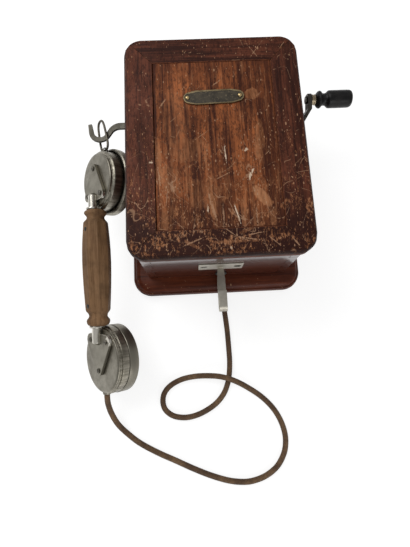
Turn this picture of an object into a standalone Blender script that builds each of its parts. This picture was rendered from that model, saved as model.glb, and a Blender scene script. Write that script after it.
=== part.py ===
"""A crank wall telephone, lying on its back with its handset beside it.

Frame: the origin is the centre of the back board's rear face. +Y points to the top of the
telephone, +X to the crank and +Z out of the door. Sizes are in metres.
"""
import math

import bmesh
import bpy
from mathutils import Matrix, Vector

MM = 0.001

# Clearances and finish
GAP = 0.3 * MM
RUNNING_GAP = 0.4 * MM
OVERRUN = 5.0 * MM
EASED_EDGE = 0.5 * MM
ROUND_COUNT = 24
SMALL_ROUND_COUNT = 12

# Back board
BOARD_MARGIN = 17.2 * MM
BOARD_THICKNESS = 15.0 * MM
BOARD_CORNER = 19.0 * MM
BOARD_MOULDING = 8.6 * MM
BOARD_EDGE_SHARES = ((0.14, 0.0), (0.14, 0.13), (0.04, 0.24), (0.0, 0.42), (0.04, 0.60), (0.14, 0.71),
                     (0.30, 0.72), (0.34, 0.80), (0.50, 0.90), (0.76, 0.97), (1.0, 1.0))
WALL_SCREW_HOLE = 2.4 * MM
WALL_SCREW_FROM_SIDE = 8.7 * MM
WALL_SCREW_FROM_END = 7.95 * MM

# Case
CASE_WIDTH = 137.4 * MM
CASE_HEIGHT = 183.9 * MM
CASE_DEPTH = 91.8 * MM
WALL = 8.0 * MM
FINGER_COUNT = 9

# Door
DOOR_OVERHANG = 6.3 * MM
DOOR_THICKNESS = 11.2 * MM
DOOR_CORNER = 15.5 * MM
DOOR_ROUNDING = 3.6 * MM
DOOR_EDGE_SHARES = ((0.25, 0.0), (0.0, 0.08), (0.0, 0.66), (0.14, 0.84), (0.48, 0.96), (1.0, 1.0))
STILE_WIDTH = 24.0 * MM
TOP_RAIL_WIDTH = 24.5 * MM
BOTTOM_RAIL_WIDTH = 21.5 * MM
PANEL_SINK = 0.9 * MM
PANEL_BEVEL = 0.8 * MM
PANEL_LIP = 4.0 * MM
PANEL_LIP_THICKNESS = 4.6 * MM

# Name plate
PLATE_LENGTH = 51.0 * MM
PLATE_HEIGHT = 13.0 * MM
PLATE_END_RADIUS = 5.2 * MM
PLATE_THICKNESS = 0.9 * MM
PLATE_FROM_TOP = 59.65 * MM
PLATE_TILT_DEGREES = 1.3
PLATE_PIN_REACH = 22.0 * MM
PLATE_PIN_RADIUS = 1.7 * MM
PLATE_PIN_HEIGHT = 0.9 * MM
PLATE_PIN_SHARES = ((1.0, 0.0), (0.94, 0.45), (0.70, 0.80), (0.30, 1.0))

# Door hinges
HINGE_FROM_END = 33.95 * MM
HINGE_LENGTH = 30.0 * MM
HINGE_KNUCKLE = 2.3 * MM
HINGE_PIN = 1.1 * MM
HINGE_PIN_HEAD = 1.7 * MM
HINGE_LEAF = 1.3 * MM
HINGE_LEAF_REACH = 13.0 * MM
HINGE_AXIS_OUT = 3.1 * MM
HINGE_AXIS_DROP = 2.9 * MM

# Door catch
CATCH_WIDTH = 12.0 * MM
CATCH_TONGUE = 1.6 * MM
CATCH_TONGUE_DROP = 12.0 * MM
CATCH_FOOT = 10.0 * MM
CATCH_SPRING = 1.0 * MM
CATCH_FROM_WALL = 5.0 * MM

# Switch hook
HOOK_Z = 69.5 * MM
HOOK_THICKNESS = 2.6 * MM
HOOK_PIVOT_FROM_WALL = 18.7 * MM
HOOK_PIVOT_FROM_TOP = 45.65 * MM
HOOK_TAIL = 10.0 * MM
HOOK_ARM = 45.0 * MM
HOOK_BEND_RADIUS = 11.0 * MM
HOOK_BEND_DEGREES = 58.0
HOOK_SLOPE = 5.4 * MM
HOOK_BOWL_RADIUS = 8.2 * MM
HOOK_BOWL_DEGREES = 139.0
HOOK_TIP = 9.4 * MM
HOOK_ARM_WIDTH = 6.4 * MM
HOOK_BOWL_WIDTH = 4.7 * MM
HOOK_TIP_WIDTH = 3.6 * MM
HOOK_HUB_RADIUS = 5.2 * MM
HOOK_PIN_RADIUS = 1.6 * MM
HOOK_PIN_HEAD = 3.4 * MM
HOOK_PIN_HEAD_HEIGHT = 1.6 * MM
HOOK_SLOT_PLAY = 3.4 * MM
HOOK_SLOT_WIDTH = 4.6 * MM
HOOK_BRACKET_THICKNESS = 2.4 * MM
HOOK_BRACKET_FOOT = 14.0 * MM
SPRING_BLOCK = 11.0 * MM
SPRING_BLOCK_HEIGHT = 15.0 * MM
SPRING_BLOCK_DEPTH = 10.0 * MM
SPRING_LEAF = 0.8 * MM
SPRING_REACH = 20.2 * MM
SPRING_WIDTH = 6.0 * MM
SPRING_SPACING = 4.0 * MM
SPRING_LIFT = 1.7 * MM
SPRING_CONTACT = 1.2 * MM

# Crank
CRANK_FROM_TOP = 67.95 * MM
CRANK_Z = 53.0 * MM
CRANK_SHAFT = 3.0 * MM
CRANK_SHAFT_PAST_PLATE = 4.0 * MM
CRANK_BUSH = 5.6 * MM
CRANK_BUSH_FLANGE = 9.5 * MM
CRANK_BUSH_FLANGE_THICKNESS = 2.0 * MM
CRANK_COLLAR = 4.6 * MM
CRANK_COLLAR_LENGTH = 3.4 * MM
CRANK_HUB = 6.5 * MM
CRANK_ARM_THICKNESS = 4.0 * MM
CRANK_NUT = 5.0 * MM
CRANK_NUT_THICKNESS = 3.0 * MM
CRANK_RISE = 43.0 * MM
CRANK_LEAN = 17.0 * MM
CRANK_OFFSET = 19.5 * MM
CRANK_ARM_FLAT = 9.0 * MM
CRANK_ARM_END = 5.4 * MM
FERRULE_LENGTH = 3.8 * MM
FERRULE_RADIUS = 5.0 * MM
KNOB_LENGTH = 35.0 * MM
KNOB_RADIUS = 8.2 * MM
KNOB_BORE = 2.6 * MM
KNOB_SPINDLE = 2.2 * MM
KNOB_RIVET = 3.6 * MM
KNOB_RIVET_HEIGHT = 1.2 * MM
KNOB_SHARES = ((0.55, 0.0), (0.66, 0.03), (0.92, 0.07), (0.99, 0.105), (0.92, 0.14), (0.74, 0.18),
               (0.68, 0.235), (0.72, 0.29), (0.93, 0.33), (1.0, 0.37), (1.0, 0.88), (0.96, 0.95),
               (0.84, 0.99), (0.55, 1.0))

# Magneto
GEAR_MODULE = 1.25 * MM
GEAR_TEETH = 40
PINION_TEETH = 8
# Below and above the pitch circle in modules, and half widths at the root and tip in pitches
GEAR_TOOTH_SHARES = (1.15, 0.75, 0.30, 0.10)
PINION_TOOTH_SHARES = (1.05, 0.75, 0.30, 0.09)
GEAR_WIDTH = 4.0 * MM
GEAR_FROM_PLATE = 5.0 * MM
GEAR_HUB = 6.0 * MM
GEAR_HUB_LENGTH = 3.4 * MM
MAGNETO_ANGLE_DEGREES = -20.0
MAGNETO_FROM_WALL = 21.7 * MM
MAGNETO_FROM_BLOCK = 0.8 * MM
MAGNETO_PLATE = 3.0 * MM
MAGNETO_PLATE_MARGIN = 6.0 * MM
MAGNET_COUNT = 2
MAGNET_THICKNESS = 7.0 * MM
MAGNET_INNER = 13.0 * MM
MAGNET_LEG = 26.0 * MM
MAGNET_SPACE = 3.0 * MM
ARMATURE_RADIUS = 9.0 * MM
ARMATURE_WAIST = 2.4 * MM
ARMATURE_SHAFT = 2.2 * MM
POLE_HALF_HEIGHT = 12.0 * MM
POLE_SPLIT = 3.0 * MM

# Ringer
RINGER_PLATE = 2.6 * MM
RINGER_PLATE_HALF = 12.0 * MM
RINGER_YOKE = 3.0 * MM
RINGER_AXIS_Z = 32.0 * MM
COIL_X = 11.5 * MM
COIL_LENGTH = 24.0 * MM
COIL_CHEEK = 9.6 * MM
COIL_RADIUS = 8.2 * MM
COIL_CORE = 3.2 * MM
COIL_CHEEK_SHARE = 0.07
RINGER_ARMATURE_THICKNESS = 2.6 * MM
RINGER_ARMATURE_HALF = 17.0 * MM
RINGER_ARMATURE_DEPTH = 8.0 * MM
RINGER_AIR = 1.4 * MM
RINGER_PIVOT = 1.3 * MM
CLAPPER_ROD = 1.0 * MM
CLAPPER_LENGTH = 15.0 * MM
CLAPPER_BALL = 3.4 * MM
CLAPPER_PLAY = 1.1 * MM
CLAPPER_FROM_GONGS = 5.2 * MM
GONG_RADIUS = 17.5 * MM
GONG_DEPTH = 13.0 * MM
GONG_WALL_SHARE = 0.09
GONG_RINGS = 4
GONG_FROM_WALL = 1.95 * MM
GONG_POST = 3.0 * MM
GONG_SCREW = 3.4 * MM
GONG_SCREW_HEIGHT = 2.6 * MM

# Induction coil, condenser and terminals
COUPLING_COIL_FROM_WALL = 3.2 * MM
COUPLING_COIL_FROM_TOP = 12.45 * MM
COUPLING_COIL_LENGTH = 32.0 * MM
COUPLING_COIL_CHEEK = 18.0 * MM
COUPLING_COIL_CHEEK_THICKNESS = 2.6 * MM
COUPLING_COIL_RADIUS = 7.4 * MM
COUPLING_CORE_RADIUS = 3.0 * MM
COUPLING_CORE_PROUD = 2.0 * MM
CONDENSER_WIDTH = 26.0 * MM
CONDENSER_LENGTH = 40.0 * MM
CONDENSER_HEIGHT = 17.0 * MM
CONDENSER_FROM_WALL = 7.7 * MM
CONDENSER_FROM_COIL = 3.5 * MM
CONDENSER_LUG = 2.0 * MM
CONDENSER_LUG_HEIGHT = 5.0 * MM
TERMINAL_FROM_WALL = 3.2 * MM
TERMINAL_FROM_END = 5.0 * MM
TERMINAL_WIDTH = 13.0 * MM
TERMINAL_LENGTH = 52.0 * MM
TERMINAL_HEIGHT = 8.0 * MM
TERMINAL_COUNT = 4
TERMINAL_SCREW = 3.4 * MM
TERMINAL_SCREW_HEIGHT = 3.0 * MM

# Second receiver's hook, under the case
SIDE_HOOK_X = 1.4 * MM
SIDE_HOOK_Z = 57.0 * MM
SIDE_HOOK_PLATE_WIDTH = 41.0 * MM
SIDE_HOOK_PLATE_HEIGHT = 19.0 * MM
SIDE_HOOK_PLATE = 2.0 * MM
SIDE_HOOK_RECESS = 1.2 * MM
SIDE_HOOK_STRIP = 2.2 * MM
SIDE_HOOK_ROOT_WIDTH = 5.2 * MM
SIDE_HOOK_WIDTH = 7.6 * MM
SIDE_HOOK_DROP = 36.5 * MM
SIDE_HOOK_BEND_RADIUS = 4.6 * MM
SIDE_HOOK_RETURN = 13.0 * MM
SIDE_HOOK_SCREW_X = 15.4 * MM
SIDE_HOOK_SCREW_HOLE = 1.9 * MM
SIDE_HOOK_SCREW_HEAD = 3.6 * MM

# Cord and its bushes
CORD_RADIUS = 2.75 * MM
CORD_STEP = 11.2 * MM
CORD_LIFT = 0.1 * MM
CASE_BUSH_X = 3.2 * MM
CASE_BUSH_Z = 27.0 * MM
CASE_BUSH_RADIUS = 4.4 * MM
CASE_BUSH_FLANGE = 5.8 * MM
CASE_BUSH_PROUD = 2.2 * MM

# Handset
HANDSET_YAW_DEGREES = 0.8
HANDSET_RISE = 31.75 * MM
HANDSET_ROLL_DEGREES = 42.4
HANDSET_SPAN = 166.4 * MM
EAR_DRUM = 27.4 * MM
EAR_DRUM_DEPTH = 12.3 * MM
EAR_CAP = 31.2 * MM
EAR_CAP_DEPTH = 10.6 * MM
EAR_HOLE = 6.0 * MM
MIC_DRUM = 31.2 * MM
MIC_DRUM_DEPTH = 10.6 * MM
MIC_CAP = 31.7 * MM
MIC_CAP_DEPTH = 9.6 * MM
MIC_HOLE = 1.5 * MM
MIC_HOLE_COUNT = 6
MIC_HOLE_TURN = 0.1
MIC_HOLE_RING = 6.2 * MM
MIC_CAP_RIM_SHARE = 0.9
CAP_WALL = 2.0 * MM
EAR_CASE_SHARES = ((0.86, 0.0), (0.905, 0.05), (0.905, 0.20), (0.955, 0.22), (1.0, 0.32), (1.0, 1.0))
MIC_CASE_SHARES = ((0.90, 0.0), (0.95, 0.06), (0.95, 0.17), (0.98, 0.19), (0.98, 0.30), (0.955, 0.32),
                   (0.965, 0.36), (1.0, 0.40), (1.0, 1.0))
EAR_CAP_SHARES = ((0.93, 0.0), (1.0, 0.16), (1.0, 0.62), (0.95, 0.86), (0.84, 1.0), (0.70, 0.97),
                  (0.34, 0.80))
MIC_CAP_SHARES = ((0.985, 0.0), (1.0, 0.06), (1.0, 0.90), (0.97, 1.0), (0.88, 1.0), (0.80, 0.90),
                  (0.34, 0.84))
TONGUE_THICKNESS = 2.8 * MM
EAR_TONGUE_X = 11.5 * MM
EAR_TONGUE_Y = 14.0 * MM
EAR_TONGUE_CORNER = 5.4 * MM
EAR_TONGUE_APEX = 10.2 * MM
MIC_TONGUE_X = 14.0 * MM
MIC_TONGUE_Y = 18.0 * MM
MIC_TONGUE_CORNER = 6.4 * MM
MIC_TONGUE_APEX = 9.4 * MM
TONGUE_APEX_RADIUS = 4.5 * MM
TONGUE_SCREW = 2.0 * MM
TONGUE_SCREW_HEIGHT = 0.6 * MM
NECK_TUBE = 3.9 * MM
NECK_OUT = 3.9 * MM
NECK_COLLAR = 6.0 * MM
NECK_COLLAR_LENGTH = 1.5 * MM
EAR_NECK_END = 13.0 * MM
MIC_NECK_END = 14.5 * MM
GRIP_OUT = 1.6 * MM
GRIP_START = 32.0 * MM
GRIP_FROM_EAR = 28.0 * MM
GRIP_RADIUS = 13.9 * MM
GRIP_SIDES = 8
GRIP_RING_COUNT = 24
GRIP_SHARES = ((0.0, 0.60, 0.0), (0.012, 0.72, 0.0), (0.040, 0.81, 0.0), (0.062, 0.72, 0.0),
               (0.085, 0.63, 0.0), (0.110, 0.70, 0.0), (0.128, 0.83, 0.5), (0.145, 0.86, 1.0),
               (0.330, 0.95, 1.0), (0.545, 1.0, 1.0), (0.740, 0.95, 1.0), (0.880, 0.86, 1.0),
               (0.896, 0.82, 0.5), (0.912, 0.68, 0.0), (0.932, 0.61, 0.0), (0.952, 0.70, 0.0),
               (0.972, 0.79, 0.0), (0.990, 0.70, 0.0), (1.0, 0.56, 0.0))

# Bail
BAIL_WIRE = 1.05 * MM
BAIL_DEPTH = 9.6 * MM
BAIL_LENGTH = 31.0 * MM
BAIL_HALF_WIDTH = 6.4 * MM
BAIL_LEAN_DEGREES = 15.5
BAIL_FROM_BOWL_X = 6.444 * MM
BAIL_FROM_BOWL_Y = -11.023 * MM
BAIL_SHARES = ((0.35, 0.0), (0.64, 0.01), (0.87, 0.07), (0.97, 0.17), (1.0, 0.30), (0.95, 0.50),
               (0.88, 0.70),
               (0.78, 0.86), (0.56, 0.96), (0.22, 1.0))
EYELET_X = -1.9 * MM
EYELET_RISE = 1.9 * MM
EYELET_HOLE = 1.7 * MM
EYELET_RADIUS = 2.7 * MM
EYELET_THICKNESS = 1.6 * MM
EYELET_FOOT_SHARE = 0.8

# The handset's cord bush
MIC_BUSH_DEPTH = 5.2 * MM
MIC_BUSH_X = 0.5 * MM
MIC_BUSH_RADIUS = 3.8 * MM
MIC_BUSH_END = 32.4 * MM
MIC_BUSH_BEVEL = 0.6 * MM

# Levels that follow from the sizes above
CASE_BACK = BOARD_THICKNESS + GAP
CASE_FRONT = CASE_BACK + CASE_DEPTH
DOOR_BACK = CASE_FRONT + GAP
DOOR_FRONT = DOOR_BACK + DOOR_THICKNESS
PANEL_FRONT = DOOR_FRONT - PANEL_SINK
FLOOR_INSIDE = BOARD_THICKNESS + GAP
HALF_CASE_WIDTH = CASE_WIDTH / 2
HALF_CASE_HEIGHT = CASE_HEIGHT / 2
INSIDE_X = HALF_CASE_WIDTH - WALL
INSIDE_Y = HALF_CASE_HEIGHT - WALL
BOARD_WIDTH = CASE_WIDTH + 2 * BOARD_MARGIN
BOARD_HEIGHT = CASE_HEIGHT + 2 * BOARD_MARGIN
DOOR_WIDTH = CASE_WIDTH + 2 * DOOR_OVERHANG
DOOR_HEIGHT = CASE_HEIGHT + 2 * DOOR_OVERHANG
WALL_SCREW_X = INSIDE_X - WALL_SCREW_FROM_SIDE
WALL_SCREW_Y = INSIDE_Y - WALL_SCREW_FROM_END
PLATE_CENTRE_Y = DOOR_HEIGHT / 2 - PLATE_FROM_TOP
HINGE_X = -HALF_CASE_WIDTH - HINGE_AXIS_OUT
HINGE_Y = HALF_CASE_HEIGHT - HINGE_FROM_END
HINGE_Z = DOOR_BACK - HINGE_AXIS_DROP
HOOK_PIVOT_X = -INSIDE_X + HOOK_PIVOT_FROM_WALL
HOOK_PIVOT_Y = HALF_CASE_HEIGHT - HOOK_PIVOT_FROM_TOP
SPRING_BLOCK_END = HOOK_PIVOT_X + HOOK_TAIL + SPRING_REACH
CRANK_Y = HALF_CASE_HEIGHT - CRANK_FROM_TOP
MAGNETO_RIGHT_X = INSIDE_X - MAGNETO_FROM_WALL
MAGNETO_LEFT_X = SPRING_BLOCK_END + MAGNETO_FROM_BLOCK
GEAR_X = MAGNETO_RIGHT_X + GEAR_FROM_PLATE
GEAR_CENTRES = GEAR_MODULE * (GEAR_TEETH + PINION_TEETH) / 2
MAGNETO_ANGLE = math.radians(MAGNETO_ANGLE_DEGREES)
ARMATURE_Y = CRANK_Y + GEAR_CENTRES * math.cos(MAGNETO_ANGLE)
ARMATURE_Z = CRANK_Z + GEAR_CENTRES * math.sin(MAGNETO_ANGLE)
CRANK_SHAFT_INSIDE = MAGNETO_RIGHT_X - MAGNETO_PLATE - CRANK_SHAFT_PAST_PLATE
CRANK_HUB_X = HALF_CASE_WIDTH + CRANK_BUSH_FLANGE_THICKNESS + CRANK_COLLAR_LENGTH + 3 * GAP
KNOB_Y = CRANK_Y + CRANK_RISE
KNOB_Z = CRANK_Z + CRANK_LEAN
KNOB_ARM_X = CRANK_HUB_X + CRANK_OFFSET
GONG_X = GONG_RADIUS + CLAPPER_BALL + CLAPPER_PLAY
GONG_Y = -INSIDE_Y + GONG_RADIUS + GONG_FROM_WALL
CLAPPER_Y = GONG_Y + CLAPPER_FROM_GONGS + CLAPPER_LENGTH
RINGER_ARMATURE_FACE = CLAPPER_Y + RINGER_ARMATURE_THICKNESS / 2
RINGER_YOKE_Y = RINGER_ARMATURE_FACE + RINGER_AIR + COIL_LENGTH + 2 * GAP + RINGER_YOKE
COUPLING_COIL_X = -INSIDE_X + COUPLING_COIL_FROM_WALL + COUPLING_COIL_LENGTH / 2
COUPLING_COIL_Y = INSIDE_Y - COUPLING_COIL_FROM_TOP - COUPLING_COIL_CHEEK / 2
CONDENSER_X = -INSIDE_X + CONDENSER_FROM_WALL + CONDENSER_WIDTH / 2
CONDENSER_Y = COUPLING_COIL_Y - COUPLING_COIL_CHEEK / 2 - CONDENSER_FROM_COIL - CONDENSER_LENGTH / 2
TERMINAL_X = -INSIDE_X + TERMINAL_FROM_WALL + TERMINAL_WIDTH / 2
TERMINAL_Y = -INSIDE_Y + TERMINAL_FROM_END + TERMINAL_LENGTH / 2
GRIP_LENGTH = HANDSET_SPAN - GRIP_START - GRIP_FROM_EAR
KNOB_X = KNOB_ARM_X + CRANK_ARM_THICKNESS + FERRULE_LENGTH + 2 * GAP

# The cord's route from the case bush to the handset: x, y and height, in millimetres
CORD_ROUTE_MM = (
    (3.4, -101.0, 27.0), (4.0, -109.0, 22.5), (5.0, -117.5, 13.0), (6.0, -127.0, 4.4), (7.0, -137.5, 2.8),
    (7.8, -150.0, 2.8), (8.2, -166.0, 2.8), (8.2, -180.0, 2.8), (6.8, -192.8, 2.8), (4.6, -201.0, 2.8),
    (0.2, -210.0, 2.8), (-7.8, -218.6, 2.8), (-19.2, -225.4, 2.8), (-30.7, -229.3, 2.8),
    (-41.0, -230.0, 2.8),
    (-51.0, -227.5, 2.8), (-58.0, -221.4, 2.8), (-60.0, -213.5, 2.8), (-58.0, -205.6, 2.8),
    (-51.4, -198.8, 2.9),
    (-40.5, -193.8, 3.4), (-27.7, -191.6, 5.2), (-14.9, -191.5, 7.4), (-2.1, -193.0, 8.9),
    (9.6, -196.8, 8.9),
    (21.5, -203.1, 6.6), (36.0, -213.2, 3.6), (46.6, -224.0, 2.8), (53.4, -235.2, 2.8), (57.2, -247.0, 2.8),
    (57.7, -257.6, 2.8), (55.0, -268.2, 2.8), (47.8, -278.9, 2.8), (37.4, -286.2, 2.8), (26.1, -290.1, 2.8),
    (15.1, -291.2, 2.8), (0.6, -289.2, 2.8), (-16.2, -283.8, 2.8), (-32.8, -276.7, 2.8),
    (-49.6, -268.6, 2.8),
    (-66.0, -260.8, 2.8), (-83.2, -251.1, 2.8), (-95.2, -241.4, 3.6), (-103.4, -231.9, 7.6),
    (-108.2, -220.9, 14.0), (-109.7, -211.6, 21.2),
)

METALS = ("nickel", "cup_metal", "steel", "brass", "iron")
FINISHES = {
    "varnished_wood": ((0.165, 0.045, 0.022), 0.38),
    "grip_wood": ((0.20, 0.105, 0.052), 0.62),
    "nickel": ((0.40, 0.385, 0.345), 0.38),
    "cup_metal": ((0.36, 0.345, 0.31), 0.42),
    "steel": ((0.08, 0.078, 0.07), 0.42),
    "brass": ((0.45, 0.32, 0.12), 0.4),
    "iron": ((0.10, 0.10, 0.10), 0.5),
    "ebonite": ((0.012, 0.012, 0.014), 0.4),
    "dark_plate": ((0.045, 0.052, 0.032), 0.5),
    "magnet_red": ((0.28, 0.03, 0.02), 0.45),
    "green_cotton": ((0.05, 0.11, 0.05), 0.85),
    "cord_cotton": ((0.085, 0.048, 0.026), 0.9),
}


def clear_scene():
    for thing in list(bpy.data.objects):
        bpy.data.objects.remove(thing, do_unlink=True)


def finish(slot):
    """The material of a finish, made on first use."""
    found = bpy.data.materials.get(slot)
    if found:
        return found
    colour, roughness = FINISHES[slot]
    made = bpy.data.materials.new(slot)
    made.use_nodes = True
    shader = made.node_tree.nodes["Principled BSDF"]
    shader.inputs["Base Color"].default_value = (*colour, 1.0)
    shader.inputs["Roughness"].default_value = roughness
    shader.inputs["Metallic"].default_value = 1.0 if slot in METALS else 0.0
    return made


def joint_frame(name, matrix):
    """An empty that carries a moving group, at its joint."""
    empty = bpy.data.objects.new(name, None)
    empty.matrix_world = matrix
    empty.hide_render = True
    bpy.context.collection.objects.link(empty)
    return empty


def piece(name, shape, slot, frame=None, local=False, flat_degrees=32.0):
    """One named part. The shape is in world places, or in its frame's own if local is set."""
    if frame and not local:
        shape.transform(frame.matrix_world.inverted())
    mesh = bpy.data.meshes.new(name)
    shape.to_mesh(mesh)
    shape.free()
    mesh.shade_smooth()
    mesh.set_sharp_from_angle(angle=math.radians(flat_degrees))
    mesh.materials.append(finish(slot))
    made = bpy.data.objects.new(name, mesh)
    bpy.context.collection.objects.link(made)
    made.parent = frame
    return made


def toward(axis, u, v, w):
    """A point whose w runs along the axis, with u and v across it in x, y, z order."""
    if axis == "x":
        return Vector((w, u, v))
    if axis == "y":
        return Vector((u, w, v))
    return Vector((u, v, w))


def loft(rings, closed=False):
    """A skin over rings of equal length, with flat ends, or bent round to meet itself."""
    shape = bmesh.new()
    rows = [[shape.verts.new(point) for point in ring] for ring in rings]
    pairs = list(zip(rows, rows[1:]))
    if closed:
        pairs.append((rows[-1], rows[0]))
    for lower, upper in pairs:
        for i, vertex in enumerate(lower):
            j = (i + 1) % len(lower)
            shape.faces.new((vertex, lower[j], upper[j], upper[i]))
    if not closed:
        shape.faces.new(rows[0])
        shape.faces.new(rows[-1])
    bmesh.ops.recalc_face_normals(shape, faces=shape.faces)
    return shape


def prism(outline, start, end, axis="z"):
    """An outline carried along an axis from start to end."""
    return loft([[toward(axis, u, v, w) for u, v in outline] for w in (start, end)])


def block(low, high):
    """A box between two corners."""
    return prism(((low[0], low[1]), (high[0], low[1]), (high[0], high[1]), (low[0], high[1])), low[2],
                 high[2])


def circle(radius, count=ROUND_COUNT, centre=(0.0, 0.0), first=0.0):
    return [(centre[0] + radius * math.cos(first + math.tau * i / count),
             centre[1] + radius * math.sin(first + math.tau * i / count)) for i in range(count)]


def turned(profile, centre=(0.0, 0.0), axis="z", count=ROUND_COUNT):
    """A turned piece from its profile of radius and place along the axis."""
    return loft([[toward(axis, u, v, along) for u, v in circle(radius, count, centre)] for radius,
                 along in profile])


def scaled(shares, radius, length, start=0.0):
    """A profile from its shares of a radius and a length."""
    return [(radius * across, start + length * along) for across, along in shares]


def rod(radius, start, end, centre=(0.0, 0.0), axis="z", count=SMALL_ROUND_COUNT):
    return turned(((radius, start), (radius, end)), centre, axis, count)


def rounded_rectangle(width, height, corner, steps=4):
    """A rectangle about the origin with round corners."""
    outline = []
    for side_x, side_y, turn in ((1, 1, 0), (-1, 1, 1), (-1, -1, 2), (1, -1, 3)):
        centre = (side_x * (width / 2 - corner), side_y * (height / 2 - corner))
        for i in range(steps + 1):
            angle = math.pi / 2 * (turn + i / steps)
            outline.append((centre[0] + corner * math.cos(angle), centre[1] + corner * math.sin(angle)))
    return outline


def hull_of_circles(circles, steps=8):
    """The outline round a few circles, given as (x, y, radius) in turning order."""
    outline = []
    for i, (x, y, radius) in enumerate(circles):
        before = circles[i - 1]
        after = circles[(i + 1) % len(circles)]
        first = side_direction(before, (x, y, radius))
        last = side_direction((x, y, radius), after)
        sweep = (last - first) % math.tau
        for k in range(steps + 1):
            angle = first + sweep * k / steps
            outline.append((x + radius * math.cos(angle), y + radius * math.sin(angle)))
    return outline


def side_direction(a, b):
    """The outward direction of the straight side that touches two circles."""
    run = math.hypot(b[0] - a[0], b[1] - a[1])
    return math.atan2(b[1] - a[1], b[0] - a[0]) - math.acos((a[2] - b[2]) / run)


def combine(body, tool, operation="DIFFERENCE"):
    """The body with the tool cut from it, joined to it or kept as common ground."""
    holders = []
    for shape in (body, tool):
        mesh = bpy.data.meshes.new("working")
        shape.to_mesh(mesh)
        shape.free()
        holder = bpy.data.objects.new("working", mesh)
        bpy.context.collection.objects.link(holder)
        holders.append(holder)
    change = holders[0].modifiers.new("change", "BOOLEAN")
    change.operation = operation
    change.solver = "EXACT"
    change.object = holders[1]
    result = bmesh.new()
    result.from_object(holders[0], bpy.context.evaluated_depsgraph_get())
    for holder in holders:
        mesh = holder.data
        bpy.data.objects.remove(holder, do_unlink=True)
        bpy.data.meshes.remove(mesh)
    return result


def keep_side(shape, point, normal):
    """The part of a shape that lies behind a plane, closed where the plane cuts it."""
    everything = shape.verts[:] + shape.edges[:] + shape.faces[:]
    cut = bmesh.ops.bisect_plane(shape, geom=everything, plane_co=point, plane_no=normal, clear_outer=True)
    edges = [item for item in cut["geom_cut"] if isinstance(item, bmesh.types.BMEdge)]
    bmesh.ops.edgeloop_fill(shape, edges=edges)
    bmesh.ops.recalc_face_normals(shape, faces=shape.faces)
    return shape


def stroke(start, heading_degrees, moves, steps=8):
    """Points along straight runs ("run", length) and arcs ("arc", radius, turn in degrees)."""
    points = [Vector(start)]
    heading = math.radians(heading_degrees)
    for move in moves:
        if move[0] == "run":
            points.append(points[-1] + move[1] * Vector((math.cos(heading), math.sin(heading))))
            continue
        turn = math.radians(move[2])
        side = math.copysign(1.0, turn)
        centre = points[-1] + side * move[1] * Vector((-math.sin(heading), math.cos(heading)))
        for k in range(1, steps + 1):
            now = heading + turn * k / steps
            points.append(centre - side * move[1] * Vector((-math.sin(now), math.cos(now))))
        heading += turn
    return points


def ribbon(points, half_widths):
    """The outline of a strip along a line, with a half width at each point."""
    left = []
    right = []
    for i, point in enumerate(points):
        before = points[max(i - 1, 0)]
        after = points[min(i + 1, len(points) - 1)]
        along = (after - before).normalized()
        across = Vector((-along.y, along.x)) * half_widths[i]
        left.append(tuple(point + across))
        right.append(tuple(point - across))
    return left + right[::-1]


def tube_loop(points, radius, count=8):
    """A wire bent into a flat closed loop, on points in one plane of equal z."""
    rings = []
    for i, point in enumerate(points):
        along = (points[(i + 1) % len(points)] - points[i - 1]).normalized()
        across = Vector((-along.y, along.x, 0.0))
        rings.append([point + across * u + Vector((0.0, 0.0, v)) for u, v in circle(radius, count)])
    return loft(rings, closed=True)


def gear_outline(teeth, share, first_angle):
    """A spur gear's outline: tapered teeth with running clearance, one tooth at the first angle."""
    pitch = GEAR_MODULE * teeth / 2
    root = pitch - share[0] * GEAR_MODULE
    tip = pitch + share[1] * GEAR_MODULE
    outline = []
    for k in range(teeth):
        middle = first_angle + math.tau * k / teeth
        for radius, half in ((root, -share[2]), (tip, -share[3]), (tip, share[3]), (root, share[2])):
            angle = middle + math.tau / teeth * half
            outline.append((radius * math.cos(angle), radius * math.sin(angle)))
    return outline


def shifted(outline, centre):
    return [(u + centre[0], v + centre[1]) for u, v in outline]


def smooth_route(points, step):
    """Evenly spaced points on a smooth curve through a route."""
    dense = []
    padded = [points[0]] + list(points) + [points[-1]]
    for a, b, c, d in zip(padded, padded[1:], padded[2:], padded[3:]):
        for k in range(12):
            t = k / 12
            dense.append(0.5 * ((2 * b) + (c - a) * t + (2 * a - 5 * b + 4 * c - d) * t * t
                                + (3 * b - a - 3 * c + d) * t * t * t))
    dense.append(points[-1])
    length = sum((q - p).length for p, q in zip(dense, dense[1:]))
    count = max(2, round(length / step))
    even = [dense[0]]
    walked = 0.0
    for p, q in zip(dense, dense[1:]):
        run = (q - p).length
        while len(even) < count and walked + run >= length * len(even) / count:
            even.append(p.lerp(q, (length * len(even) / count - walked) / run))
        walked += run
    even.append(dense[-1])
    return even


def back_board():
    """The moulded board that the case stands on, with its four wall screw holes."""
    rings = []
    for inset_share, height_share in BOARD_EDGE_SHARES:
        inset = BOARD_MOULDING * inset_share
        outline = rounded_rectangle(BOARD_WIDTH - 2 * inset, BOARD_HEIGHT - 2 * inset, BOARD_CORNER - inset)
        rings.append([Vector((u, v, BOARD_THICKNESS * height_share)) for u, v in outline])
    board = loft(rings)
    for side_x in (-1, 1):
        for side_y in (-1, 1):
            hole = rod(WALL_SCREW_HOLE, -OVERRUN, BOARD_THICKNESS + OVERRUN,
                       (side_x * WALL_SCREW_X, side_y * WALL_SCREW_Y))
            board = combine(board, hole)
    piece("back_board", board, "varnished_wood")


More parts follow.
